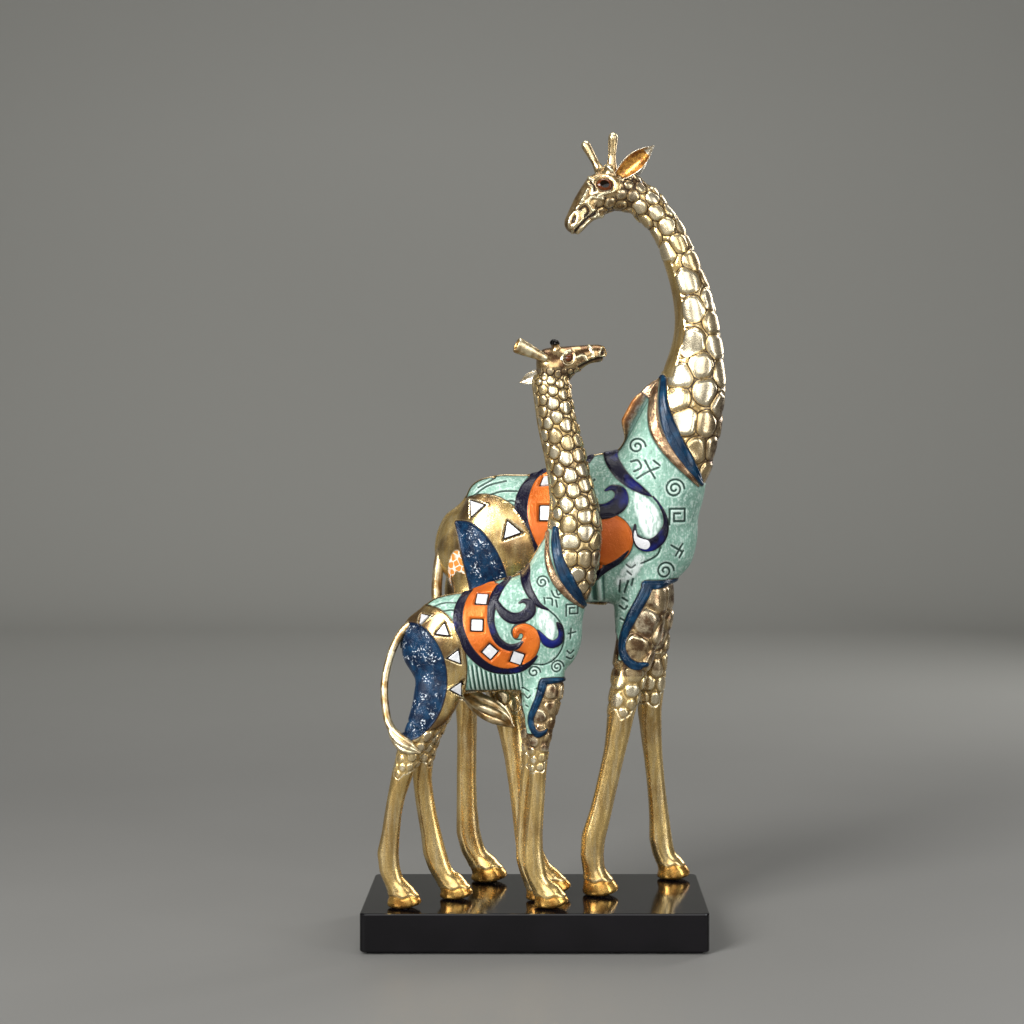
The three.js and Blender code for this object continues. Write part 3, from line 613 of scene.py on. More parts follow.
def mane_distance(animal, points, normals, piece):
    """Distance in mm outside the ridge that runs over the back and up the nape."""
    half, top, _ = animal["mane"]
    out = np.full(len(points), FAR)
    h = points[:, 2] - PLINTH_TOP
    for part, axis in (("torso", 0), ("neck", 2)):
        mine = np.nonzero(on_parts(piece, part))[0]
        slot = (points[mine, axis] // MANE_SLICE).astype(int)
        slot -= slot.min()
        low = np.full(slot.max() + 1, np.inf)
        high = np.full(slot.max() + 1, -np.inf)
        np.minimum.at(low, slot, points[mine, 1])
        np.maximum.at(high, slot, points[mine, 1])
        middle = ((low + high) / 2)[slot]
        away = np.abs(points[mine, 1] - middle) - half
        back = normals[mine, 2] > 0.3 if part == "torso" else normals[mine, 0] < -0.3
        back |= (normals[mine, 0] < -0.3) & (h[mine] > animal["belly"] + 20)
        out[mine] = np.where(back & (h[mine] < top), away, FAR)
    return np.minimum(out, FAR)


INNER_THIGH = (-39, 163, 5, 11, 0)  # the crackled ellipse on the mother


def mint_distance(animal, x, h, piece, haunch):
    """Distance inside the mint: gold shows over the collar, in the sleeve, on the haunch and below."""
    (_, collar_high, _), (_, collar_low, _) = animal["collar"][0], animal["collar"][-1]
    below_collar = interpolate(h, animal["collar"]) - x
    below_collar = np.where(h > collar_high, -FAR, below_collar)
    below_collar = np.where(h < collar_low, FAR, below_collar)
    sleeve = animal["sleeve"][:CUFF + 1]
    in_sleeve = np.minimum(x - interpolate(h, sleeve), animal["bar"][-1][1] - h)
    in_strip = np.minimum(x - interpolate(h, animal["strip"]), h - sleeve[CUFF][1])
    above_belly = np.maximum(h - animal["belly"], in_strip)
    mint = np.minimum.reduce([above_belly, -in_sleeve, below_collar, haunch])
    on_thigh = on_parts(piece, *LEGS[2:])
    return np.where(on_thigh, np.minimum(mint, h - animal["belly"] - 6), mint)


def fields_of(animal, points, normals, piece):
    """Every painted or carved field at the points, as distances in mm."""
    places = np.column_stack([points[:, 0], points[:, 2] - PLINTH_TOP])
    x, h = places.T
    marks = MOTHER_MARKS if animal is MOTHER else CALF_MARKS
    line = marks["line"]
    field = {}
    orange_rows, navy_rows = marks["shared_rows"]
    orange = [brought_over(animal, BAND_ORANGE[:orange_rows])] + marks["orange"]
    navy = [brought_over(animal, stroke[:rows]) for stroke, rows in zip(BAND_NAVY, navy_rows)]
    navy += marks["navy"]
    for key, strokes in (("orange", orange), ("navy", navy), ("leaf", marks["leaf"]),
                         ("white", marks["white"])):
        field[key] = nearest(places, [smooth_curve(stroke) for stroke in strokes])
    lines = [thin(mark, line) for mark in marks["engraved"]]
    lines += [thin(brought_over(animal, vein), line) for vein in RUMP_FAN]
    lines += [spiral(*row, line) for row in marks["spirals"]]
    lines += [square_spiral(*row, line) for row in marks["square_spirals"]]
    field["engraved"] = nearest(places, lines)
    for key in ("patch", "braid"):
        field[key] = stroke_distance(places, smooth_curve(animal[key]))
    field["band"] = nearest(places, [smooth_curve(animal[k]) for k in ("collar", "bar", "sleeve")])
    field["haunch"] = ellipse_distance(places, animal["haunch"])

    mint = mint_distance(animal, x, h, piece, field["haunch"])
    field["mint"] = np.clip(mint, -FAR, FAR)
    field["mane"] = mane_distance(animal, points, normals, piece)
    field["mint"] = np.minimum(field["mint"], field["mane"])
    for key in ("engraved", "orange", "navy", "leaf", "white"):
        field[key] = np.where(field["mint"] < -1.2, FAR, field[key])

    _, crest_top, crest_foot = animal["mane"]
    crest = soft_step(h, crest_foot, crest_foot + 9) * soft_step(-h, -crest_top, 16 - crest_top)
    field["mane_paint"] = crest
    knob_x, knob_h, knob_radius = animal["knob"]
    field["knob"] = np.hypot(x - knob_x, h - knob_h) - knob_radius

    # The mother's far hind thigh is crackled where it shows beside the patch
    far_thigh = on_parts(piece, "leg_hind_left", "torso")
    shown = far_thigh & (normals[:, 1] < 0.2) & (field["patch"] > 0.6) & (animal is MOTHER)
    field["inner"] = np.where(shown, ellipse_distance(places, INNER_THIGH), FAR)

    # Eyes, nostrils, mouth and the folds round them
    head = on_parts(piece, "head")
    field["eye"] = np.where(head, ellipse_distance(places, animal["eye"]), FAR)
    slots = nearest(places, [thin(row, 0.3) for row in animal["creases"]])
    field["slot"] = np.where(head, np.minimum(ellipse_distance(places, animal["nostril"]), slots), FAR)
    folds = nearest(places, [thin(row, 0.45) for row in animal["folds"]])
    field["fold"] = np.where(head, folds, FAR)
    return field


def rib_wave(animal, points, field):
    """Where the upright ribs under the flank lie, 0 to 1, and their wave, -1 to 1."""
    first, last, low, high, pitch = animal["ribs"]
    x, h = points[:, 0], points[:, 2] - PLINTH_TOP
    within = (soft_step(x, first, first + 2) * soft_step(-x, -last, -last + 2)
              * soft_step(h, low, low + 2) * soft_step(-h, -high, -high + 3))
    within *= soft_step(field["navy"], 0.2, 1.2) * soft_step(field["orange"], 0.2, 1.2)
    wave = np.cos(2 * math.pi * (x + 0.12 * (h - low)) / pitch)
    return within, wave


# How far each painted field stands out, in mm on the calf, and the distances between which it rises
STANDING = [("orange", 0.75, -0.4, 1.4), ("navy", 0.45, -0.4, 0.8), ("engraved", -0.45, -0.5, 0.2),
            ("band", 0.7, -0.5, 0.7), ("braid", 0.8, -0.5, 0.9), ("patch", -0.7, -0.3, 0.7),
            ("haunch", 0.5, -0.5, 0.6), ("leaf", 0.3, -0.3, 1.0)]
RIB_HEIGHT = 0.55
RIDGE_HEIGHT, CREST_HEIGHT = 0.8, 6.0  # the ridge on the back, and what the mother's crest adds
KNOB_HEIGHT = 0.9


def relief(animal, points, normals, piece, field, rng):
    """How far each point stands out, in mm. Adds the fields that go with the relief."""
    h = points[:, 2] - PLINTH_TOP
    size = animal["scale"] ** 0.5
    rise = np.zeros(len(points))
    for key, height, start, end in STANDING:
        rise += height * size * soft_step(-field[key], start, end)
    within, wave = rib_wave(animal, points, field)
    rise += within * (RIB_HEIGHT * size * wave)
    field["rib"] = np.where(within > 0.5, wave * 2, 2.0)
    raise_face(animal, field, rise)
    ridge = RIDGE_HEIGHT * size + CREST_HEIGHT * field["mane_paint"]
    rise += ridge * soft_step(-field["mane"], -0.6, 0.8)
    rise += KNOB_HEIGHT * soft_step(-field["knob"], -0.6, 0.6)
    raise_pebbles(animal, points, piece, field, rise, rng)
    # Bronze paint on the sleeves and the head, and painted shade on the neck's side turned from the key
    # lamp
    field["bronze_and_shade"] = bronze_and_painted_shade(animal, h, normals, piece)

    # Tendons and shins under the smooth gold
    hoof = animal["hoof"]
    shin = soft_step(animal["pebbled_above"] - h, 0, 14) * soft_step(h, hoof + 1, hoof + 14)
    rise += shin * 0.35 * size * np.cos(3 * np.arctan2(normals[:, 1], normals[:, 0]) + 0.6)
    sink_seats(animal, points, normals, field, rise)

    # A slight ledge round the top of each hoof
    top = hoof + 0.5 * np.sin(0.8 * points[:, 0])
    field["hoof"] = h - top
    rise += 0.2 * np.exp(-((h - top - 0.8) / 1.0) ** 2)
    rise -= 0.2 * np.exp(-((h - top + 0.5) / 0.5) ** 2)
    return rise


def raise_face(animal, field, rise):
    """Eyes stand out under their lids, with folds round them; nostrils and mouth are cut in."""
    size = animal["scale"] ** 0.5
    socket = np.exp(-np.clip(field["eye"] - 0.9, 0, FAR) ** 2 / 1.6)
    rise += size * (0.5 * soft_step(-field["eye"], -0.3, 1.2) - 0.55 * socket * (field["eye"] > 0))
    rise += 0.55 * size * np.exp(-((field["eye"] - 1.5) / 0.55) ** 2)
    rise -= 0.9 * size * soft_step(-field["slot"], -0.7, 0.3)
    rise += 0.4 * size * np.exp(-((field["slot"] - 1.2) / 0.5) ** 2)
    rise += animal["fold_height"] * size * soft_step(-field["fold"], -0.7, 0.3)


def pebbled_zone(animal, points, piece, field):
    """Where pebbles lie: on the neck, the cheeks, the upper legs and the breast."""
    x, h = points[:, 0], points[:, 2] - PLINTH_TOP
    from_x, under, round_eye, to_x = animal["head_pebbles"]
    throat = interpolate(h, animal["throat"])
    in_throat = (h > animal["throat"][0][1]) & (h < animal["throat"][-1][1]) & (x < throat)
    off_ridge = field["mane"] > 0.2
    neck = on_parts(piece, "neck") & ~in_throat & off_ridge
    cheek = on_parts(piece, "head") & (x > from_x) & (x < to_x) & (h < under)
    cheek &= (field["eye"] > round_eye) & (field["slot"] > 0.6)
    breast = on_parts(piece, "torso") & (field["mint"] < -0.4) & off_ridge
    zone = (neck | cheek | breast | upper_legs(animal, h, piece)) & (field["haunch"] > 0.3)
    return zone & (field["band"] > -0.3) & (field["mint"] < -0.3)


def upper_legs(animal, h, piece):
    """The legs down to a little below their lowest pebbles."""
    return on_parts(piece, *LEGS) & (h > animal["pebbled_above"] - 14)


def raise_pebbles(animal, points, piece, field, rise, rng):
    """Raises the pebbles, and adds their borders, tones and the strength of their grooves."""
    h = points[:, 2] - PLINTH_TOP
    spacing = interpolate(h, [(radius, height) for height, radius in animal["pebbles"]])
    zone = pebbled_zone(animal, points, piece, field)
    seeds, radii = settled_seeds(points[zone], spacing[zone], rng)
    border, number = cells(points[zone], seeds, radii)

    # A circle about as wide as its cell rounds each pebble off
    gap = np.linalg.norm(points[zone] - seeds[number], axis=1)
    rim = border < 0.7
    count = np.maximum(np.bincount(number[rim], minlength=len(seeds)), 1)
    reach = np.bincount(number[rim], gap[rim], len(seeds)) / count
    reach = np.where(count > 3, reach, radii)
    border = np.minimum(border, 1.04 * reach[number] - gap)

    # Each has its own tone, height and tilt, and a dome with soft shoulders
    tones = rng.random(len(seeds))
    heights = 0.8 + 0.4 * rng.random(len(seeds))
    tilts = rng.normal(0, 0.07, (len(seeds), 3))
    edge = border / radii[number]
    dome = 0.8 * soft_step(edge, 0.02, 0.32) + 0.2 * soft_step(edge, 0.2, 0.9)
    dome += 0.3 * soft_step(-border, 0.3, 1.2)
    tilt = np.einsum("ij,ij->i", points[zone] - seeds[number], tilts[number])

    # Towards the smooth gold below, the pebbles thin out one by one
    kept = seeds[:, 2] - PLINTH_TOP > animal["pebbled_above"] + 9 * (tones - 0.5)
    upper = upper_legs(animal, h, piece)
    fade = np.where(upper[zone] & ~kept[number], 0.0, 1.0)
    height = np.minimum(0.22 * radii[number], 0.95)
    rise[zone] += (height * (dome - 0.6) * heights[number] + tilt * dome) * fade
    field["tone"] = np.zeros(len(points))
    field["tone"][zone] = tones[number]
    field["pebble"] = np.full(len(points), FAR)
    field["pebble"][zone] = np.clip(np.where(fade > 0.5, border, FAR), -FAR, FAR)
    field["groove"] = np.where(on_parts(piece, *LEGS[2:]), 0.4, np.where(upper, 0.7, 1.0))
    field["groove"][zone] *= fade


def bronze_and_painted_shade(animal, h, normals, piece):
    """How bronze the gold is: paint on the sleeves' plates and the head, and paint with painted shade on
    the foot and far side of the neck, away from the key lamp.
    """
    on_sleeve = upper_legs(animal, h, piece) & ~on_parts(piece, *LEGS[2:])
    bronze_and_shade = np.where(on_sleeve & (h > animal["sleeve"][CUFF][1] - 8), 0.95, 0.0)
    # Painted shade: the neck's side that faces +X, away from the key lamp, is turned towards bronze
    shaded_side = np.clip(1.3 * normals[:, 0] - 0.1, 0, 1)
    foot = soft_step(-h, -animal["collar"][0][1] - 30, -animal["collar"][3][1] + 4)
    bronze_and_shade = np.where(on_parts(piece, "neck"), shaded_side * (0.45 + 0.5 * foot), bronze_and_shade)
    return np.where(on_parts(piece, "head"), animal["head_paint"], bronze_and_shade)


def sink_seats(animal, points, normals, field, rise):
    """Flat seats for the mirror tiles, sunk behind them."""
    seat = np.full(len(points), FAR)
    flat = points + normals * rise[:, None]
    for tile in tile_frames(animal):
        outside, above = seat_distance(flat, tile)
        facing = normals @ tile["normal"] > 0.2
        here = facing & (np.abs(above) < 6) & (outside < 3.5)
        seat[here] = np.minimum(seat[here], outside[here])
        depth = np.where(outside < 0.75, 1.0, 0.35)
        hold = soft_step(-outside, -1.6, -0.75)
        target = -above - depth
        rise[here] += (target * hold)[here] / np.maximum(normals[here] @ tile["normal"], 0.3)
    field["seat"] = seat


def hollowness(points, quads, normals):
    """How hollow the surface is at each vertex, over about a millimetre, in mm."""
    place = np.einsum("ij,ij->i", points, normals)
    a, b = edges_of(quads)
    count = np.bincount(a, minlength=len(points)) + np.bincount(b, minlength=len(points))
    smoothed = points.copy()
    for _ in range(3):
        for axis in range(3):
            around = (np.bincount(a, smoothed[b, axis], len(points))
                      + np.bincount(b, smoothed[a, axis], len(points)))
            smoothed[:, axis] = around / count
    return np.einsum("ij,ij->i", smoothed, normals) - place


# ---------------- node materials

SPECULAR, COAT_ROUGHNESS = 0.22, 0.12


class Shader:
    """A principled material built from small pieces."""

    def __init__(self, name):
        self.material = bpy.data.materials.new(name)
        self.material.use_nodes = True
        self.nodes = self.material.node_tree.nodes
        self.links = self.material.node_tree.links
        self.surface = self.nodes["Principled BSDF"]
        self.place = self.nodes.new("ShaderNodeTexCoord").outputs["Object"]

    def put(self, socket, value):
        if isinstance(value, bpy.types.NodeSocket):
            self.links.new(value, socket)
        elif isinstance(value, tuple) and len(value) == 3 and socket.type == "RGBA":
            socket.default_value = (*value, 1)
        else:
            socket.default_value = value

    def math(self, operation, a, b=0.0):
        node = self.nodes.new("ShaderNodeMath")
        node.operation = operation
        self.put(node.inputs[0], a)
        self.put(node.inputs[1], b)
        return node.outputs[0]

    def times(self, a, b):
        return self.math("MULTIPLY", a, b)

    def plus(self, a, b):
        return self.math("ADD", a, b)

    def field(self, name):
        node = self.nodes.new("ShaderNodeAttribute")
        node.attribute_name = name
        return node.outputs["Fac"]

    def ramp(self, value, start, end, low=0.0, high=1.0):
        node = self.nodes.new("ShaderNodeMapRange")
        node.interpolation_type = "SMOOTHSTEP"
        self.put(node.inputs["Value"], value)
        for key, number in (("From Min", start), ("From Max", end), ("To Min", low), ("To Max", high)):
            node.inputs[key].default_value = number
        return node.outputs[0]

    def below(self, name, start, end, high=1.0):
        """`high` where a field is under `start`, fading to nothing at `end`."""
        return self.ramp(self.field(name), start, end, high, 0.0)

    def noise(self, size, detail=3.0, rough=0.55, stretch=(1, 1, 1)):
        """Noise with features about `size` mm across."""
        scale = self.nodes.new("ShaderNodeMapping")
        scale.inputs["Scale"].default_value = stretch
        self.links.new(self.place, scale.inputs["Vector"])
        node = self.nodes.new("ShaderNodeTexNoise")
        node.inputs["Scale"].default_value = 1 / (size * MM)
        node.inputs["Detail"].default_value = detail
        node.inputs["Roughness"].default_value = rough
        self.links.new(scale.outputs[0], node.inputs["Vector"])
        return node.outputs["Fac"]

    def crackle(self, size):
        node = self.nodes.new("ShaderNodeTexVoronoi")
        node.feature = "DISTANCE_TO_EDGE"
        node.inputs["Scale"].default_value = 1 / (size * MM)
        self.links.new(self.place, node.inputs["Vector"])
        return node.outputs["Distance"]

    def mix(self, amount, low, high):
        node = self.nodes.new("ShaderNodeMix")
        node.data_type = "RGBA"
        self.put(node.inputs["Factor"], amount)
        colours = [socket for socket in node.inputs if socket.type == "RGBA"]
        self.put(colours[0], low)
        self.put(colours[1], high)
        return next(socket for socket in node.outputs if socket.type == "RGBA")

    def blend(self, amount, low, high):
        node = self.nodes.new("ShaderNodeMix")
        node.data_type = "FLOAT"
        numbers = [socket for socket in node.inputs if socket.type == "VALUE"]
        for socket, value in zip(numbers, (amount, low, high)):
            self.put(socket, value)
        return next(socket for socket in node.outputs if socket.type == "VALUE")

    def bump(self, height, depth):
        node = self.nodes.new("ShaderNodeBump")
        node.inputs["Strength"].default_value = 1.0
        node.inputs["Distance"].default_value = depth * MM
        self.links.new(height, node.inputs["Height"])
        self.links.new(node.outputs[0], self.surface.inputs["Normal"])

    def finish(self, colour, metallic, roughness, coat=0.0):
        self.put(self.surface.inputs["Base Color"], colour)
        self.put(self.surface.inputs["Metallic"], metallic)
        self.put(self.surface.inputs["Roughness"], roughness)
        self.surface.inputs["Specular IOR Level"].default_value = SPECULAR
        self.surface.inputs["Coat Weight"].default_value = coat
        self.surface.inputs["Coat Roughness"].default_value = COAT_ROUGHNESS
        return self.material


GOLD_DEEP, GOLD, GOLD_PALE = (0.34, 0.20, 0.07), (0.72, 0.50, 0.185), (0.88, 0.77, 0.50)
CHAMPAGNE = (0.76, 0.68, 0.50)
GROOVE = (0.030, 0.017, 0.009)
MINT_DEEP, MINT, MINT_PALE = (0.035, 0.095, 0.072), (0.215, 0.375, 0.295), (0.58, 0.70, 0.63)
ORANGE_DEEP, ORANGE_WARM = (0.40, 0.075, 0.008), (0.62, 0.15, 0.018)
NAVY_DEEP, COBALT = (0.003, 0.002, 0.012), (0.006, 0.014, 0.17)
TEAL_DEEP, TEAL = (0.002, 0.016, 0.040), (0.005, 0.040, 0.088)
PATCH_DEEP, PATCH = (0.002, 0.010, 0.030), (0.006, 0.036, 0.085)
BRONZE_DEEP, BRONZE = (0.15, 0.080, 0.04), (0.42, 0.29, 0.17)
AMBER_DEEP, AMBER = (0.40, 0.19, 0.04), (0.74, 0.45, 0.12)
EYE_BROWN, PUPIL = (0.085, 0.022, 0.006), (0.004, 0.002, 0.001)
PEARL_DEEP, PEARL = (0.7, 0.7, 0.7), (0.86, 0.87, 0.88)
KNOB_BLACK = (0.008, 0.007, 0.006)
CREST_DEEP, CREST = (0.36, 0.13, 0.03), (0.52, 0.22, 0.06)
CRACKLE_WHITE, CRACKLE_ORANGE = (0.86, 0.80, 0.68), (0.72, 0.27, 0.05)
# The second white on the next line is painted sparkle, glints of light on the dark patch
HATCH_WHITE, SPARKLE_WHITE = (0.70, 0.77, 0.73), (0.75, 0.82, 0.88)
ENGRAVED, TILE_GAP = (0.018, 0.035, 0.028), (0.008, 0.006, 0.006)
GLAZE_DEEP, GLAZE = (0.16, 0.055, 0.01), (0.60, 0.30, 0.06)
SILVER_DEEP, SILVER = (0.42, 0.34, 0.22), (0.85, 0.82, 0.72)
MIRROR_DEEP, MIRROR_PALE = (0.68, 0.69, 0.71), (0.84, 0.84, 0.84)
BLACK_DEEP, BLACK = (0.0015, 0.0012, 0.0018), (0.003, 0.0024, 0.0034)
FELT_DEEP, FELT_GREY = (0.008, 0.008, 0.009), (0.022, 0.022, 0.024)
ZINC_DEEP, ZINC = (0.35, 0.36, 0.38), (0.62, 0.63, 0.65)
FLOOR_DEEP, FLOOR, WALL = (0.13, 0.128, 0.12), (0.16, 0.157, 0.148), (0.42, 0.415, 0.385)


def skin_material(name):
    s = Shader(name)
    broad, middle, fine = s.noise(22), s.noise(5), s.noise(1.1, 4)
    wobble = s.times(s.math("SUBTRACT", middle, 0.5), 0.7)

    def within(key, edge=0.0, soft=0.16):
        place = s.plus(s.field(key), wobble) if key == "mint" else s.field(key)
        return s.ramp(place, edge - soft, edge + soft, 1.0, 0.0)

    # Gilding, paler on its ridges and brown in its hollows: painted highlight and painted shade that follow
    # its curvature
    hollow = s.field("hollow")
    streaks = s.noise(2.2, 4, 0.6, (1, 1, 0.12))
    gold = s.mix(s.ramp(broad, 0.30, 0.62, 0.35, 1.0), GOLD_DEEP, GOLD)
    gold = s.mix(s.ramp(streaks, 0.42, 0.70, 0.0, 0.35), gold, GOLD_PALE)
    gold = s.mix(s.ramp(streaks, 0.30, 0.44, 0.35, 0.0), gold, GOLD_DEEP)
    haunch = s.below("haunch", -0.2, 0.2)
    gold = s.mix(s.times(haunch, s.ramp(broad, 0.40, 0.58, 0.75, 0.0)), gold, BRONZE_DEEP)
    pebble = s.field("pebble")
    top = s.times(s.ramp(pebble, 0.5, 1.2), s.ramp(pebble, 8.9, 8.5))
    gold = s.mix(s.times(top, s.ramp(s.field("tone"), 0.1, 0.8, 0.25, 0.9)), gold, CHAMPAGNE)
    # Bronze paint, and painted shade on the far side of the neck, away from the key lamp
    bronze_and_shade = s.mix(s.ramp(middle, 0.4, 0.62), BRONZE_DEEP, BRONZE)
    gold = s.mix(s.times(s.field("bronze_and_shade"), s.ramp(middle, 0.38, 0.56, 1.0, 0.55)), gold, bronze_and_shade)
    # Painted highlight: the raised folds of the face are real, their pale gold is painted light
    gold = s.mix(s.below("fold", 0.0, 0.5, 0.8), gold, GOLD_PALE)
    # Painted highlight: where the surface bulges, the gold is paled
    gold = s.mix(s.ramp(hollow, -2.2, -0.5, 0.75, 0.0), gold, GOLD_PALE)
    edge = s.times(s.ramp(pebble, 0.16, 0.50, 1.0, 0.0), s.ramp(pebble, -0.6, -0.1, 0.3, 1.0))
    edge = s.times(edge, s.field("groove"))
    # Painted shade: the hollows darken to the groove colour, along with the real grooves between pebbles
    dark = s.math("MAXIMUM", edge, s.ramp(hollow, 0.9, 3.2, 0.0, 0.75))
    dark = s.math("MAXIMUM", dark, s.below("slot", 0.1, 0.6))
    dark = s.math("MAXIMUM", dark, s.below("eye", 0.35, 0.75, 0.95))
    dark = s.math("MAXIMUM", dark, s.ramp(s.math("ABSOLUTE", s.field("hoof")), 0.1, 0.4, 0.35, 0.0))
    gold = s.mix(dark, gold, GROOVE)
    hoof = s.below("hoof", -0.4, 0.0)
    amber = s.mix(s.ramp(middle, 0.35, 0.7), AMBER_DEEP, AMBER)
    gold = s.mix(hoof, gold, amber)
    gold = s.mix(s.below("knob", -0.3, 0.3), gold, KNOB_BLACK)
    colour, metallic = gold, s.blend(dark, 0.92, 0.1)
    rough = s.blend(fine, 0.18, 0.34)
    ball = s.below("eye", -0.15, 0.15)
    pupil = s.below("eye", -1.5, -1.0)
    colour = s.mix(ball, colour, s.mix(pupil, EYE_BROWN, PUPIL))
    metallic = s.blend(ball, metallic, 0.0)
    rough = s.blend(ball, rough, 0.06)

    # The ridge along the back, orange where the mother's neck begins
    ridge = s.below("mane", -0.1, 0.1)
    painted = s.times(ridge, s.field("mane_paint"))
    colour = s.mix(painted, colour, s.mix(s.ramp(middle, 0.4, 0.6), CREST_DEEP, CREST))
    metallic = s.blend(painted, metallic, 0.2)

    # White crackle over orange on the inner thigh
    crackle = s.mix(s.ramp(s.crackle(3.2), 0.04, 0.12), CRACKLE_WHITE, CRACKLE_ORANGE)
    inner = s.below("inner", -0.4, 0.4)
    colour = s.mix(inner, colour, crackle)
    metallic = s.blend(inner, metallic, 0.2)

    # Mint patina, white where it is dry brushed and dark in what is engraved
    is_mint = within("mint", 0.0, 0.2)
    is_mint = s.math("SUBTRACT", 1.0, is_mint)
    mint = s.mix(s.ramp(broad, 0.3, 0.6, 0.62, 1.0), MINT_DEEP, MINT)
    scratch = s.noise(1.6, 4, 0.65, (1, 1, 0.35))
    brushed = s.plus(s.times(fine, 0.45), s.times(scratch, 0.55))
    mint = s.mix(s.ramp(brushed, 0.49, 0.60, 0.0, 0.6), mint, MINT_PALE)
    mint = s.mix(s.ramp(brushed, 0.36, 0.45, 0.45, 0.0), mint, MINT_DEEP)
    mint = s.mix(s.ramp(hollow, -1.6, -0.2, 0.8, 0.0), mint, MINT_PALE)
    mint = s.mix(s.ramp(hollow, 0.15, 1.4, 0.0, 0.85), mint, MINT_DEEP)
    mint = s.mix(s.below("rib", -1.8, 0.2, 0.9), mint, MINT_DEEP)
    hatch = s.times(within("leaf", -0.6, 1.2), s.ramp(scratch, 0.40, 0.52, 0.35, 1.0))
    mint = s.mix(hatch, mint, HATCH_WHITE)
    line = s.below("engraved", 0.0, 0.38)
    mint = s.mix(s.times(line, 0.88), mint, ENGRAVED)
    colour = s.mix(is_mint, colour, mint)
    metallic = s.blend(is_mint, metallic, 0.05)
    rough = s.blend(is_mint, rough, 0.36)
    margin = s.ramp(s.math("ABSOLUTE", s.plus(s.field("mint"), 0.1)), 0.15, 0.45, 0.85, 0.0)
    colour = s.mix(margin, colour, GROOVE)

    # Enamel colours, each with a dark line round it
    def enamel(key, deep, light, shade, outline, rub=0.0):
        nonlocal colour, metallic, rough
        if outline > 0:
            rim = within(key, outline, 0.14)
            colour = s.mix(rim, colour, GROOVE)
            metallic = s.blend(rim, metallic, 0.0)
        amount = within(key, 0.0, 0.13)
        colour = s.mix(amount, colour, s.mix(shade, deep, light))
        metallic = s.blend(amount, metallic, rub)
        rough = s.blend(amount, rough, 0.20)

    # Each with its tones, how they run together, how far its line reaches and how metallic it is
    enamel("braid", BRONZE_DEEP, BRONZE, s.ramp(middle, 0.35, 0.65), 0.25, 0.75)
    enamel("orange", ORANGE_DEEP, ORANGE_WARM, s.ramp(broad, 0.25, 0.7), 0.35, 0.25)
    enamel("navy", NAVY_DEEP, COBALT, s.ramp(broad, 0.55, 0.72), 0.25)
    enamel("white", PEARL_DEEP, PEARL, middle, 0.0, 0.3)
    enamel("band", TEAL_DEEP, TEAL, s.ramp(middle, 0.4, 0.7), 0.35, 0.1)
    enamel("patch", PATCH_DEEP, PATCH, s.ramp(middle, 0.35, 0.7), 0.5, 0.1)

    # Painted sparkle: white glints of light, as off a crinkled gloss, scattered over the dark patch
    painted_sparkle = s.times(s.ramp(s.noise(1.1, 3, 0.7), 0.56, 0.62), s.ramp(s.noise(7, 2), 0.48, 0.58))
    painted_sparkle = s.times(painted_sparkle, within("patch", -1.2, 0.5))
    colour = s.mix(painted_sparkle, colour, SPARKLE_WHITE)

    # The dark gap round each mirror tile
    gap = s.below("seat", 0.55, 0.95)
    colour = s.mix(gap, colour, TILE_GAP)
    metallic = s.blend(gap, metallic, 0.0)

    # Fine grain, coarser in the patina and on the dark patches than in the gold
    grain = s.plus(s.times(fine, 0.6), s.times(s.noise(0.5, 2), 0.5))
    amount = s.plus(0.3, s.times(is_mint, 1.5))
    amount = s.plus(amount, s.times(within("patch"), 2.0))
    s.bump(s.times(s.plus(grain, s.times(scratch, 0.6)), amount), 0.16)
    return s.finish(colour, metallic, rough, coat=0.06)


def simple_material(name, deep, light, size, metallic, roughness, coat=0.0, depth=0.08, stretch=(1, 1, 1)):
    """Two tones that run into each other over `size` mm, with a fine grain `depth` mm deep."""
    s = Shader(name)
    tone = s.ramp(s.noise(size, 4, 0.6, stretch), 0.35, 0.68)
    grain = s.noise(0.6, 3)
    s.bump(s.plus(grain, s.times(tone, 0.5)), depth)
    low, high = roughness
    return s.finish(s.mix(tone, deep, light), metallic, s.blend(grain, low, high), coat)


# ---------------- pieces from arrays

FIELD_NAMES = ["mint", "orange", "navy", "leaf", "engraved", "patch", "braid", "band", "pebble",
               "tone", "seat", "hoof", "rib", "eye", "slot", "fold", "hollow", "groove", "bronze_and_shade", "haunch",
               "mane", "mane_paint", "inner", "white", "knob"]


def new_object(name, points_mm, faces, material, smooth=True):
    mesh = bpy.data.meshes.new(name)
    mesh.from_pydata((np.asarray(points_mm) * MM).tolist(), [], faces)
    mesh.update()
    if smooth:
        mesh.shade_smooth()
    obj = add_object(name, mesh)
    mesh.materials.append(material)
    return obj


def declare(obj, node):
    """Puts a visible piece under the root body and hides the CAD node that it stands in for."""
    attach(obj, "root")
    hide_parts(node)


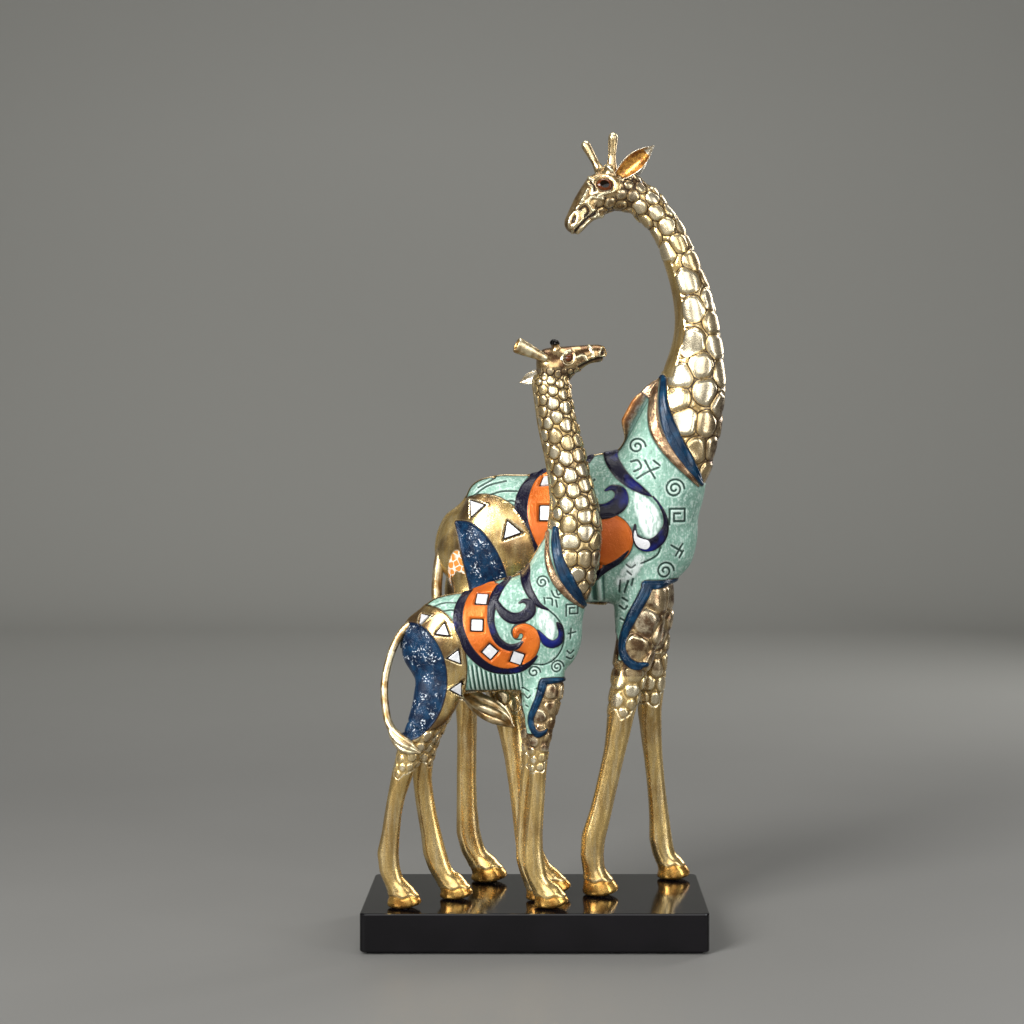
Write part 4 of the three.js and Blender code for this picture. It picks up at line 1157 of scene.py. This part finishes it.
def add_skin(animal, rng, material):
    points, quads, piece = smooth_body(animal)
    normals = vertex_normals(points, quads)
    field = fields_of(animal, points, normals, piece)
    rise = relief(animal, points, normals, piece, field, rng)
    points = points + normals * rise[:, None]
    points[:, 2] = np.maximum(points[:, 2], PLINTH_TOP + 0.05)
    normals = vertex_normals(points, quads)
    field["hollow"] = 10 * hollowness(points, quads, normals)
    owner = face_pieces(quads, piece, len(BODY))
    for number, part in enumerate(BODY):
        used, local = compacted(quads[owner == number], len(points))
        places = points[used]
        faces = local.tolist()
        fan_middles = []
        for loop in open_loops(local):
            middle = len(used) + len(fan_middles)
            fan_middles.append(places[loop].mean(0))
            following = loop[1:] + loop[:1]
            faces += [[b, a, middle] for a, b in zip(loop, following)]
        if fan_middles:
            places = np.vstack([places, fan_middles])
        name = f"{animal['name']}_{part}_skin"
        obj = new_object(name, places, faces, material)
        pad = len(places) - len(used)
        for key in FIELD_NAMES:
            values = np.append(np.clip(field[key][used], -FAR, FAR), np.full(pad, FAR))
            layer = obj.data.attributes.new(key, "FLOAT", "POINT")
            layer.data.foreach_set("value", values.astype(np.float32))
        own = np.vstack([normals[used], np.zeros((pad, 3))]) if pad else normals[used]
        obj.data.normals_split_custom_set_from_vertices(own.tolist())
        declare(obj, f"{animal['name']}_{part}")


# ---------------- tiles

def add_tiles(animal, material):
    for tile in tile_frames(animal):
        points, triangles = mesh_arrays(NODES[tile["node"]])
        obj = new_object(tile["node"] + "_glass", points, triangles.tolist(), material, smooth=False)
        bevelled(obj, 0.28)
        declare(obj, tile["node"])


def bevelled(obj, width, segments=2):
    """Merges an object's loose triangles and rounds its sharp edges."""
    weld = obj.modifiers.new("weld", "WELD")
    weld.merge_threshold = 0.01 * MM
    bevel = obj.modifiers.new("bevel", "BEVEL")
    bevel.width = width * MM
    bevel.segments = segments
    bevel.limit_method = "ANGLE"
    bevel.harden_normals = False
    apply_modifiers(obj)


def apply_modifiers(obj):
    graph = bpy.context.evaluated_depsgraph_get()
    mesh = bpy.data.meshes.new_from_object(obj.evaluated_get(graph))
    obj.modifiers.clear()
    obj.data = mesh


# ---------------- tubes, ears and tails

def tube_mesh(curve, sides=16, strands=1, twist=0.0, spread=0.0):
    """A closed tube along rows (x, y, z, radius), or several strands wound about them."""
    rows = smooth_curve(curve, 10)
    centres, radii = rows[:, :3], rows[:, 3]
    tangents = np.gradient(centres, axis=0)
    tangents /= np.linalg.norm(tangents, axis=1)[:, None]
    side = np.cross(tangents, [0, 1, 0.2])
    side /= np.linalg.norm(side, axis=1)[:, None]
    up = np.cross(side, tangents)
    points, faces = [], []
    along = np.linspace(0, 1, len(rows))
    for strand in range(strands):
        turn = 2 * math.pi * (strand / strands + twist * along)
        reach = spread * radii * np.sin(math.pi * np.clip(along, 0.02, 0.98)) ** 0.5
        middles = centres + reach[:, None] * (np.cos(turn)[:, None] * side + np.sin(turn)[:, None] * up)
        thick = radii if strands == 1 else radii * 0.5
        first = len(points)
        for k in range(len(rows)):
            for j in range(sides):
                angle = 2 * math.pi * j / sides
                points.append(middles[k] + thick[k] * (math.cos(angle) * side[k] + math.sin(angle) * up[k]))
        faces += ring_faces(first, len(rows), sides)
    return points, faces


def ring_faces(first, rings, sides):
    """Quads between rings of points numbered from `first`, and a cap at each end."""
    faces = []
    for k in range(rings - 1):
        for j in range(sides):
            a, b = first + k * sides + j, first + k * sides + (j + 1) % sides
            faces.append([a, b, b + sides, a + sides])
    faces.append([first + j for j in range(sides)][::-1])
    faces.append([first + (rings - 1) * sides + j for j in range(sides)])
    return faces


# Tail routes as (x, offset from the middle plane, height, radius)
TAILS = {
    "mother": {
        "tail": [(-33, -1, 196, 2.8), (-43.5, -1.5, 186.5, 2.9), (-48.8, -2.5, 170, 2.8),
                 (-50.6, -4, 150, 2.7), (-48, -8, 129, 2.7), (-40, -15, 111, 2.6)],
        "tuft": [(-41.5, -14, 113, 2.4), (-35, -18.6, 103.4, 3.4), (-29.5, -21, 98.6, 4.6),
                 (-22.6, -22.6, 94.4, 5.4), (-16, -23.6, 90, 4.6), (-10.6, -24.4, 85.6, 0.9)],
    },
    "calf": {
        "tail": [(-55, -1, 141, 2.1), (-63.5, -1.6, 137, 2.2), (-70, -3.6, 127, 2),
                 (-74, -6.4, 110, 1.9), (-72.6, -9.6, 94, 2), (-69, -12.4, 86.6, 2.1)],
        "tuft": [(-71.4, -10.6, 90.5, 2), (-68, -13, 85, 2.9), (-62, -15.6, 80, 3.4),
                 (-55.6, -16.2, 77, 0.8)],
    },
}


def middle_plane(animal):
    low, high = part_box(animal["name"] + "_torso")
    return (low[1] + high[1]) / 2 / MM


def add_tail(animal, material):
    plane = middle_plane(animal)
    routes = TAILS[animal["name"]]
    lifted = {key: [(x, plane + y, PLINTH_TOP + h, r) for x, y, h, r in route]
              for key, route in routes.items()}
    node = animal["name"] + "_tail"
    points, faces = tube_mesh(lifted["tail"])
    tail = new_object(node + "_cord", points, faces, material)
    declare(tail, node)
    points, faces = tube_mesh(lifted["tuft"], 12, strands=5, twist=0.3, spread=0.66)
    tuft = new_object(node + "_tuft", points, faces, material)
    declare(tuft, node)


# Which way each ear's hollow looks
EAR_OPENING = {("mother", "right"): (0, -1, 0), ("mother", "left"): (0, 1, 0),
               ("calf", "right"): (0, -1, 0), ("calf", "left"): (0, -1, 0.3)}


EAR_FULLNESS = 1.12  # a smooth ear is this much wider than the faceted one at its corners
ROLL_SIDES = 20
EAR_ROWS, EAR_COLUMNS = 22, 15
EAR_CUP = 0.55       # depth of a leaf's hollow, as a share of its half width


def ear_frame(animal, side):
    """Root, direction, length, the two crosswise directions and the half width of a CAD ear."""
    node = f"{animal['name']}_ear_{side}"
    points, _ = mesh_arrays(NODES[node])
    head_low, head_high = (np.array(c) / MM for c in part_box(animal["name"] + "_head"))
    centre = points.mean(0)
    axis = np.linalg.svd(points - centre)[2][0]
    if axis @ (centre - (head_low + head_high) / 2) < 0:
        axis = -axis
    along = (points - centre) @ axis
    length = along.max() - along.min()
    root = centre + axis * along.min()
    outward = np.array(EAR_OPENING[animal["name"], side], float)
    outward -= axis * (outward @ axis)
    outward /= np.linalg.norm(outward)
    across = np.cross(axis, outward)
    half = np.abs((points - centre) @ across).max() * EAR_FULLNESS
    return root, axis, length, across, outward, half


# Outline of a rolled ear that turns in at its mouth, as (place along it, radius)
ROLLED = [(0, 0.4), (0.25, 0.6), (0.55, 0.8), (0.85, 0.98), (0.97, 1), (1, 0.86), (0.94, 0.62), (0.72, 0.3),
          (0.7, 0.02)]


def add_rolled_ear(animal, side, outside, hollow):
    """An ear rolled into a trumpet."""
    root, axis, length, across, outward, half = ear_frame(animal, side)
    rows = smooth_curve(ROLLED, 4)
    points = []
    for along, radius in rows:
        for j in range(ROLL_SIDES):
            angle = 2 * math.pi * j / ROLL_SIDES
            spoke = 0.9 * math.cos(angle) * across + 0.7 * math.sin(angle) * outward
            points.append(root + axis * length * along + half * radius * spoke)
    faces = ring_faces(0, len(rows), ROLL_SIDES)
    node = f"{animal['name']}_ear_{side}"
    obj = new_object(node + "_roll", points, faces, outside)
    obj.data.materials.append(hollow)
    mouth = (len(rows) - 10) * ROLL_SIDES
    for number, polygon in enumerate(obj.data.polygons):
        polygon.material_index = 1 if number > mouth and number != len(faces) - 2 else 0
    fix_direction(obj)
    declare(obj, node)


def add_ear(animal, side, inside, rim):
    """A cupped leaf in the room of the CAD ear."""
    node = f"{animal['name']}_ear_{side}"
    root, axis, length, across, outward, half = ear_frame(animal, side)
    rows, columns = EAR_ROWS, EAR_COLUMNS
    front, back = [], []
    for i in range(rows):
        s = i / (rows - 1)
        width = half * (0.34 + 0.66 * math.sin(math.pi * min(1, s * 0.92 + 0.06)) ** 0.8) * (1 - s ** 5)
        for j in range(columns):
            t = 2 * j / (columns - 1) - 1
            cup = EAR_CUP * half * (1 - t * t) * math.sin(math.pi * min(1, 0.15 + 0.85 * s))
            place = root + axis * length * s + across * width * t - outward * cup
            thickness = 0.28 + 0.5 * (1 - abs(t) ** 3) * (1 - s)
            front.append(place + outward * (0.25 + 0.5 * abs(t) ** 6))
            back.append(place - outward * thickness)
    total = rows * columns
    corners = [i * columns + j for i in range(rows - 1) for j in range(columns - 1)]
    faces = [[a, a + 1, a + 1 + columns, a + columns] for a in corners]
    faces += [[total + a for a in face[::-1]] for face in faces]
    outline = [j for j in range(columns)] + [i * columns + columns - 1 for i in range(1, rows)]
    outline += [(rows - 1) * columns + j for j in range(columns - 2, -1, -1)]
    outline += [i * columns for i in range(rows - 2, 0, -1)]
    for a, b in zip(outline, outline[1:] + outline[:1]):
        faces.append([b, a, a + total, b + total])
    obj = new_object(node + "_leaf", front + back, faces, inside)
    obj.data.materials.append(rim)
    inner = (rows - 1) * (columns - 1)
    for number, polygon in enumerate(obj.data.polygons):
        row, column = divmod(number, columns - 1)
        is_rim = number >= inner or column in (0, columns - 2) or row > 0.7 * rows
        polygon.material_index = 1 if is_rim else 0
    fix_direction(obj)
    subdivided(obj, 1)
    declare(obj, node)


def fix_direction(obj):
    """Turns the faces outward where the whole shell faces in."""
    if faces_inward(*mesh_arrays(obj)):
        obj.data.flip_normals()


def subdivided(obj, levels):
    modifier = obj.modifiers.new("subdivision", "SUBSURF")
    modifier.levels = modifier.render_levels = levels
    apply_modifiers(obj)


# ---------------- camera, floor and lights

CAMERA_PLACE = (0.0065, -0.948, 0.2443)  # metres, looking along +Y
LENS, SENSOR = 65.67, 36
LENS_SHIFT = (-0.0352, -0.0596)

# Lamps, all aimed at the middle of the statue: place, size, watts and colour
AIM = (0, 0, 0.2)
LAMPS = {
    "key": ((-0.75, -0.95, 0.85), (0.5, 0.9), 34, (1, 1, 1)),
    "window": ((0.25, -1.9, 0.75), (1.3, 1.1), 13, (1, 1, 1)),
    "fill": ((1.1, -0.75, 0.45), (0.3, 1.0), 6, (0.95, 0.97, 1)),
    "top": ((0.1, 0.1, 1.3), (0.9, 0.5), 7, (1, 1, 1)),
    "edge": ((0.9, 0.8, 0.7), (0.3, 0.9), 8, (1, 1, 1)),
}
ROOM_COLOUR, ROOM_STRENGTH = (0.62, 0.62, 0.60, 1), 0.22

# The sweep, in metres: its near edge, where it turns up, the radius of the turn, its top, half its width
NEAR_EDGE, TURN_START, TURN_RADIUS, WALL_TOP, HALF_WIDTH = -3.0, 1.6, 0.8, 3.4, 4


def add_object(name, data):
    obj = bpy.data.objects.new(name, data)
    bpy.context.scene.collection.objects.link(obj)
    return obj


def add_camera():
    data = bpy.data.cameras.new("camera")
    data.lens = LENS
    data.sensor_width = SENSOR
    data.shift_x, data.shift_y = LENS_SHIFT
    camera = add_object("camera", data)
    camera.location = CAMERA_PLACE
    camera.rotation_euler = (math.pi / 2, 0, 0)
    bpy.context.scene.camera = camera


def add_lamp(name, place, size, power, colour):
    data = bpy.data.lights.new(name, "AREA")
    data.shape = "RECTANGLE"
    data.size, data.size_y = size
    data.energy = power
    data.color = colour
    lamp = add_object(name, data)
    lamp.location = place
    x, y, z = np.array(AIM, float) - np.array(place, float)
    lamp.rotation_euler = (math.atan2(math.hypot(x, y), -z), 0, math.atan2(-x, y))


def add_studio():
    for name, values in LAMPS.items():
        add_lamp(name, *values)
    world = bpy.data.worlds.new("room")
    bpy.context.scene.world = world
    world.use_nodes = True
    background = world.node_tree.nodes["Background"]
    background.inputs["Color"].default_value = ROOM_COLOUR
    background.inputs["Strength"].default_value = ROOM_STRENGTH


def add_floor():
    """A pale sweep: a floor that curves up into a wall far behind."""
    turn = np.linspace(0, math.pi / 2, 14)[1:]
    profile = [(NEAR_EDGE, 0), (TURN_START, 0)]
    profile += [(TURN_START + TURN_RADIUS * math.sin(a), TURN_RADIUS - TURN_RADIUS * math.cos(a))
                for a in turn]
    profile.append((TURN_START + TURN_RADIUS, WALL_TOP))
    points = [(x, y, z) for y, z in profile for x in (-HALF_WIDTH, HALF_WIDTH)]
    faces = [[2 * k, 2 * k + 1, 2 * k + 3, 2 * k + 2] for k in range(len(profile) - 1)]
    floor = new_object("floor_sweep", np.array(points) / MM, faces, floor_material())


def floor_material():
    s = Shader("grey_sweep")
    split = s.nodes.new("ShaderNodeSeparateXYZ")
    s.links.new(s.place, split.inputs[0])
    far = s.ramp(split.outputs["Y"], 0.2, 1.9)
    tone = s.mix(s.noise(300, 2), FLOOR_DEEP, FLOOR)
    return s.finish(s.mix(far, tone, WALL), 0.0, 0.5)


# ---------------- the whole model

add_camera()
add_studio()
add_floor()
bpy.context.scene.view_settings.view_transform = "Standard"

SKIN = skin_material("gilded_and_painted_resin")
GILDING = simple_material("gilding", GOLD_DEEP, GOLD_PALE, 6, 0.9, (0.22, 0.4), 0.2)
AMBER_GLAZE = simple_material("amber_glaze", GLAZE_DEEP, GLAZE, 2.4, 0.6, (0.2, 0.35), 0.3)
SILVER_RUB = simple_material("silver_rub", SILVER_DEEP, SILVER, 2.5, 0.9, (0.2, 0.4), 0.2)
MIRROR = simple_material("mirror_glass", MIRROR_DEEP, MIRROR_PALE, 3, 0.4, (0.12, 0.22), 0.5, 0.02)
LACQUER = simple_material("black_lacquer", BLACK_DEEP, BLACK, 30, 0.0, (0.08, 0.12), 0.15, 0.01)
FELT = simple_material("felt", FELT_DEEP, FELT_GREY, 1.4, 0.0, (0.9, 1.0), 0.0, 0.3)
STEEL = simple_material("zinc_steel", ZINC_DEEP, ZINC, 2, 1.0, (0.25, 0.4), 0.0, 0.04, (1, 1, 6))

rng = np.random.default_rng(7)
for animal in (MOTHER, CALF):
    add_skin(animal, rng, SKIN)
    add_tiles(animal, MIRROR)
    add_tail(animal, GILDING)
add_ear(MOTHER, "right", AMBER_GLAZE, SILVER_RUB)
add_ear(MOTHER, "left", AMBER_GLAZE, SILVER_RUB)
add_rolled_ear(CALF, "right", GILDING, AMBER_GLAZE)
add_ear(CALF, "left", SILVER_RUB, SILVER_RUB)

dressed = {"plinth": LACQUER, "felt_pad": FELT}
dressed.update({node: STEEL for node in NODES if "_screw_" in node})
for node, material in dressed.items():
    NODES[node].data.materials.clear()
    NODES[node].data.materials.append(material)
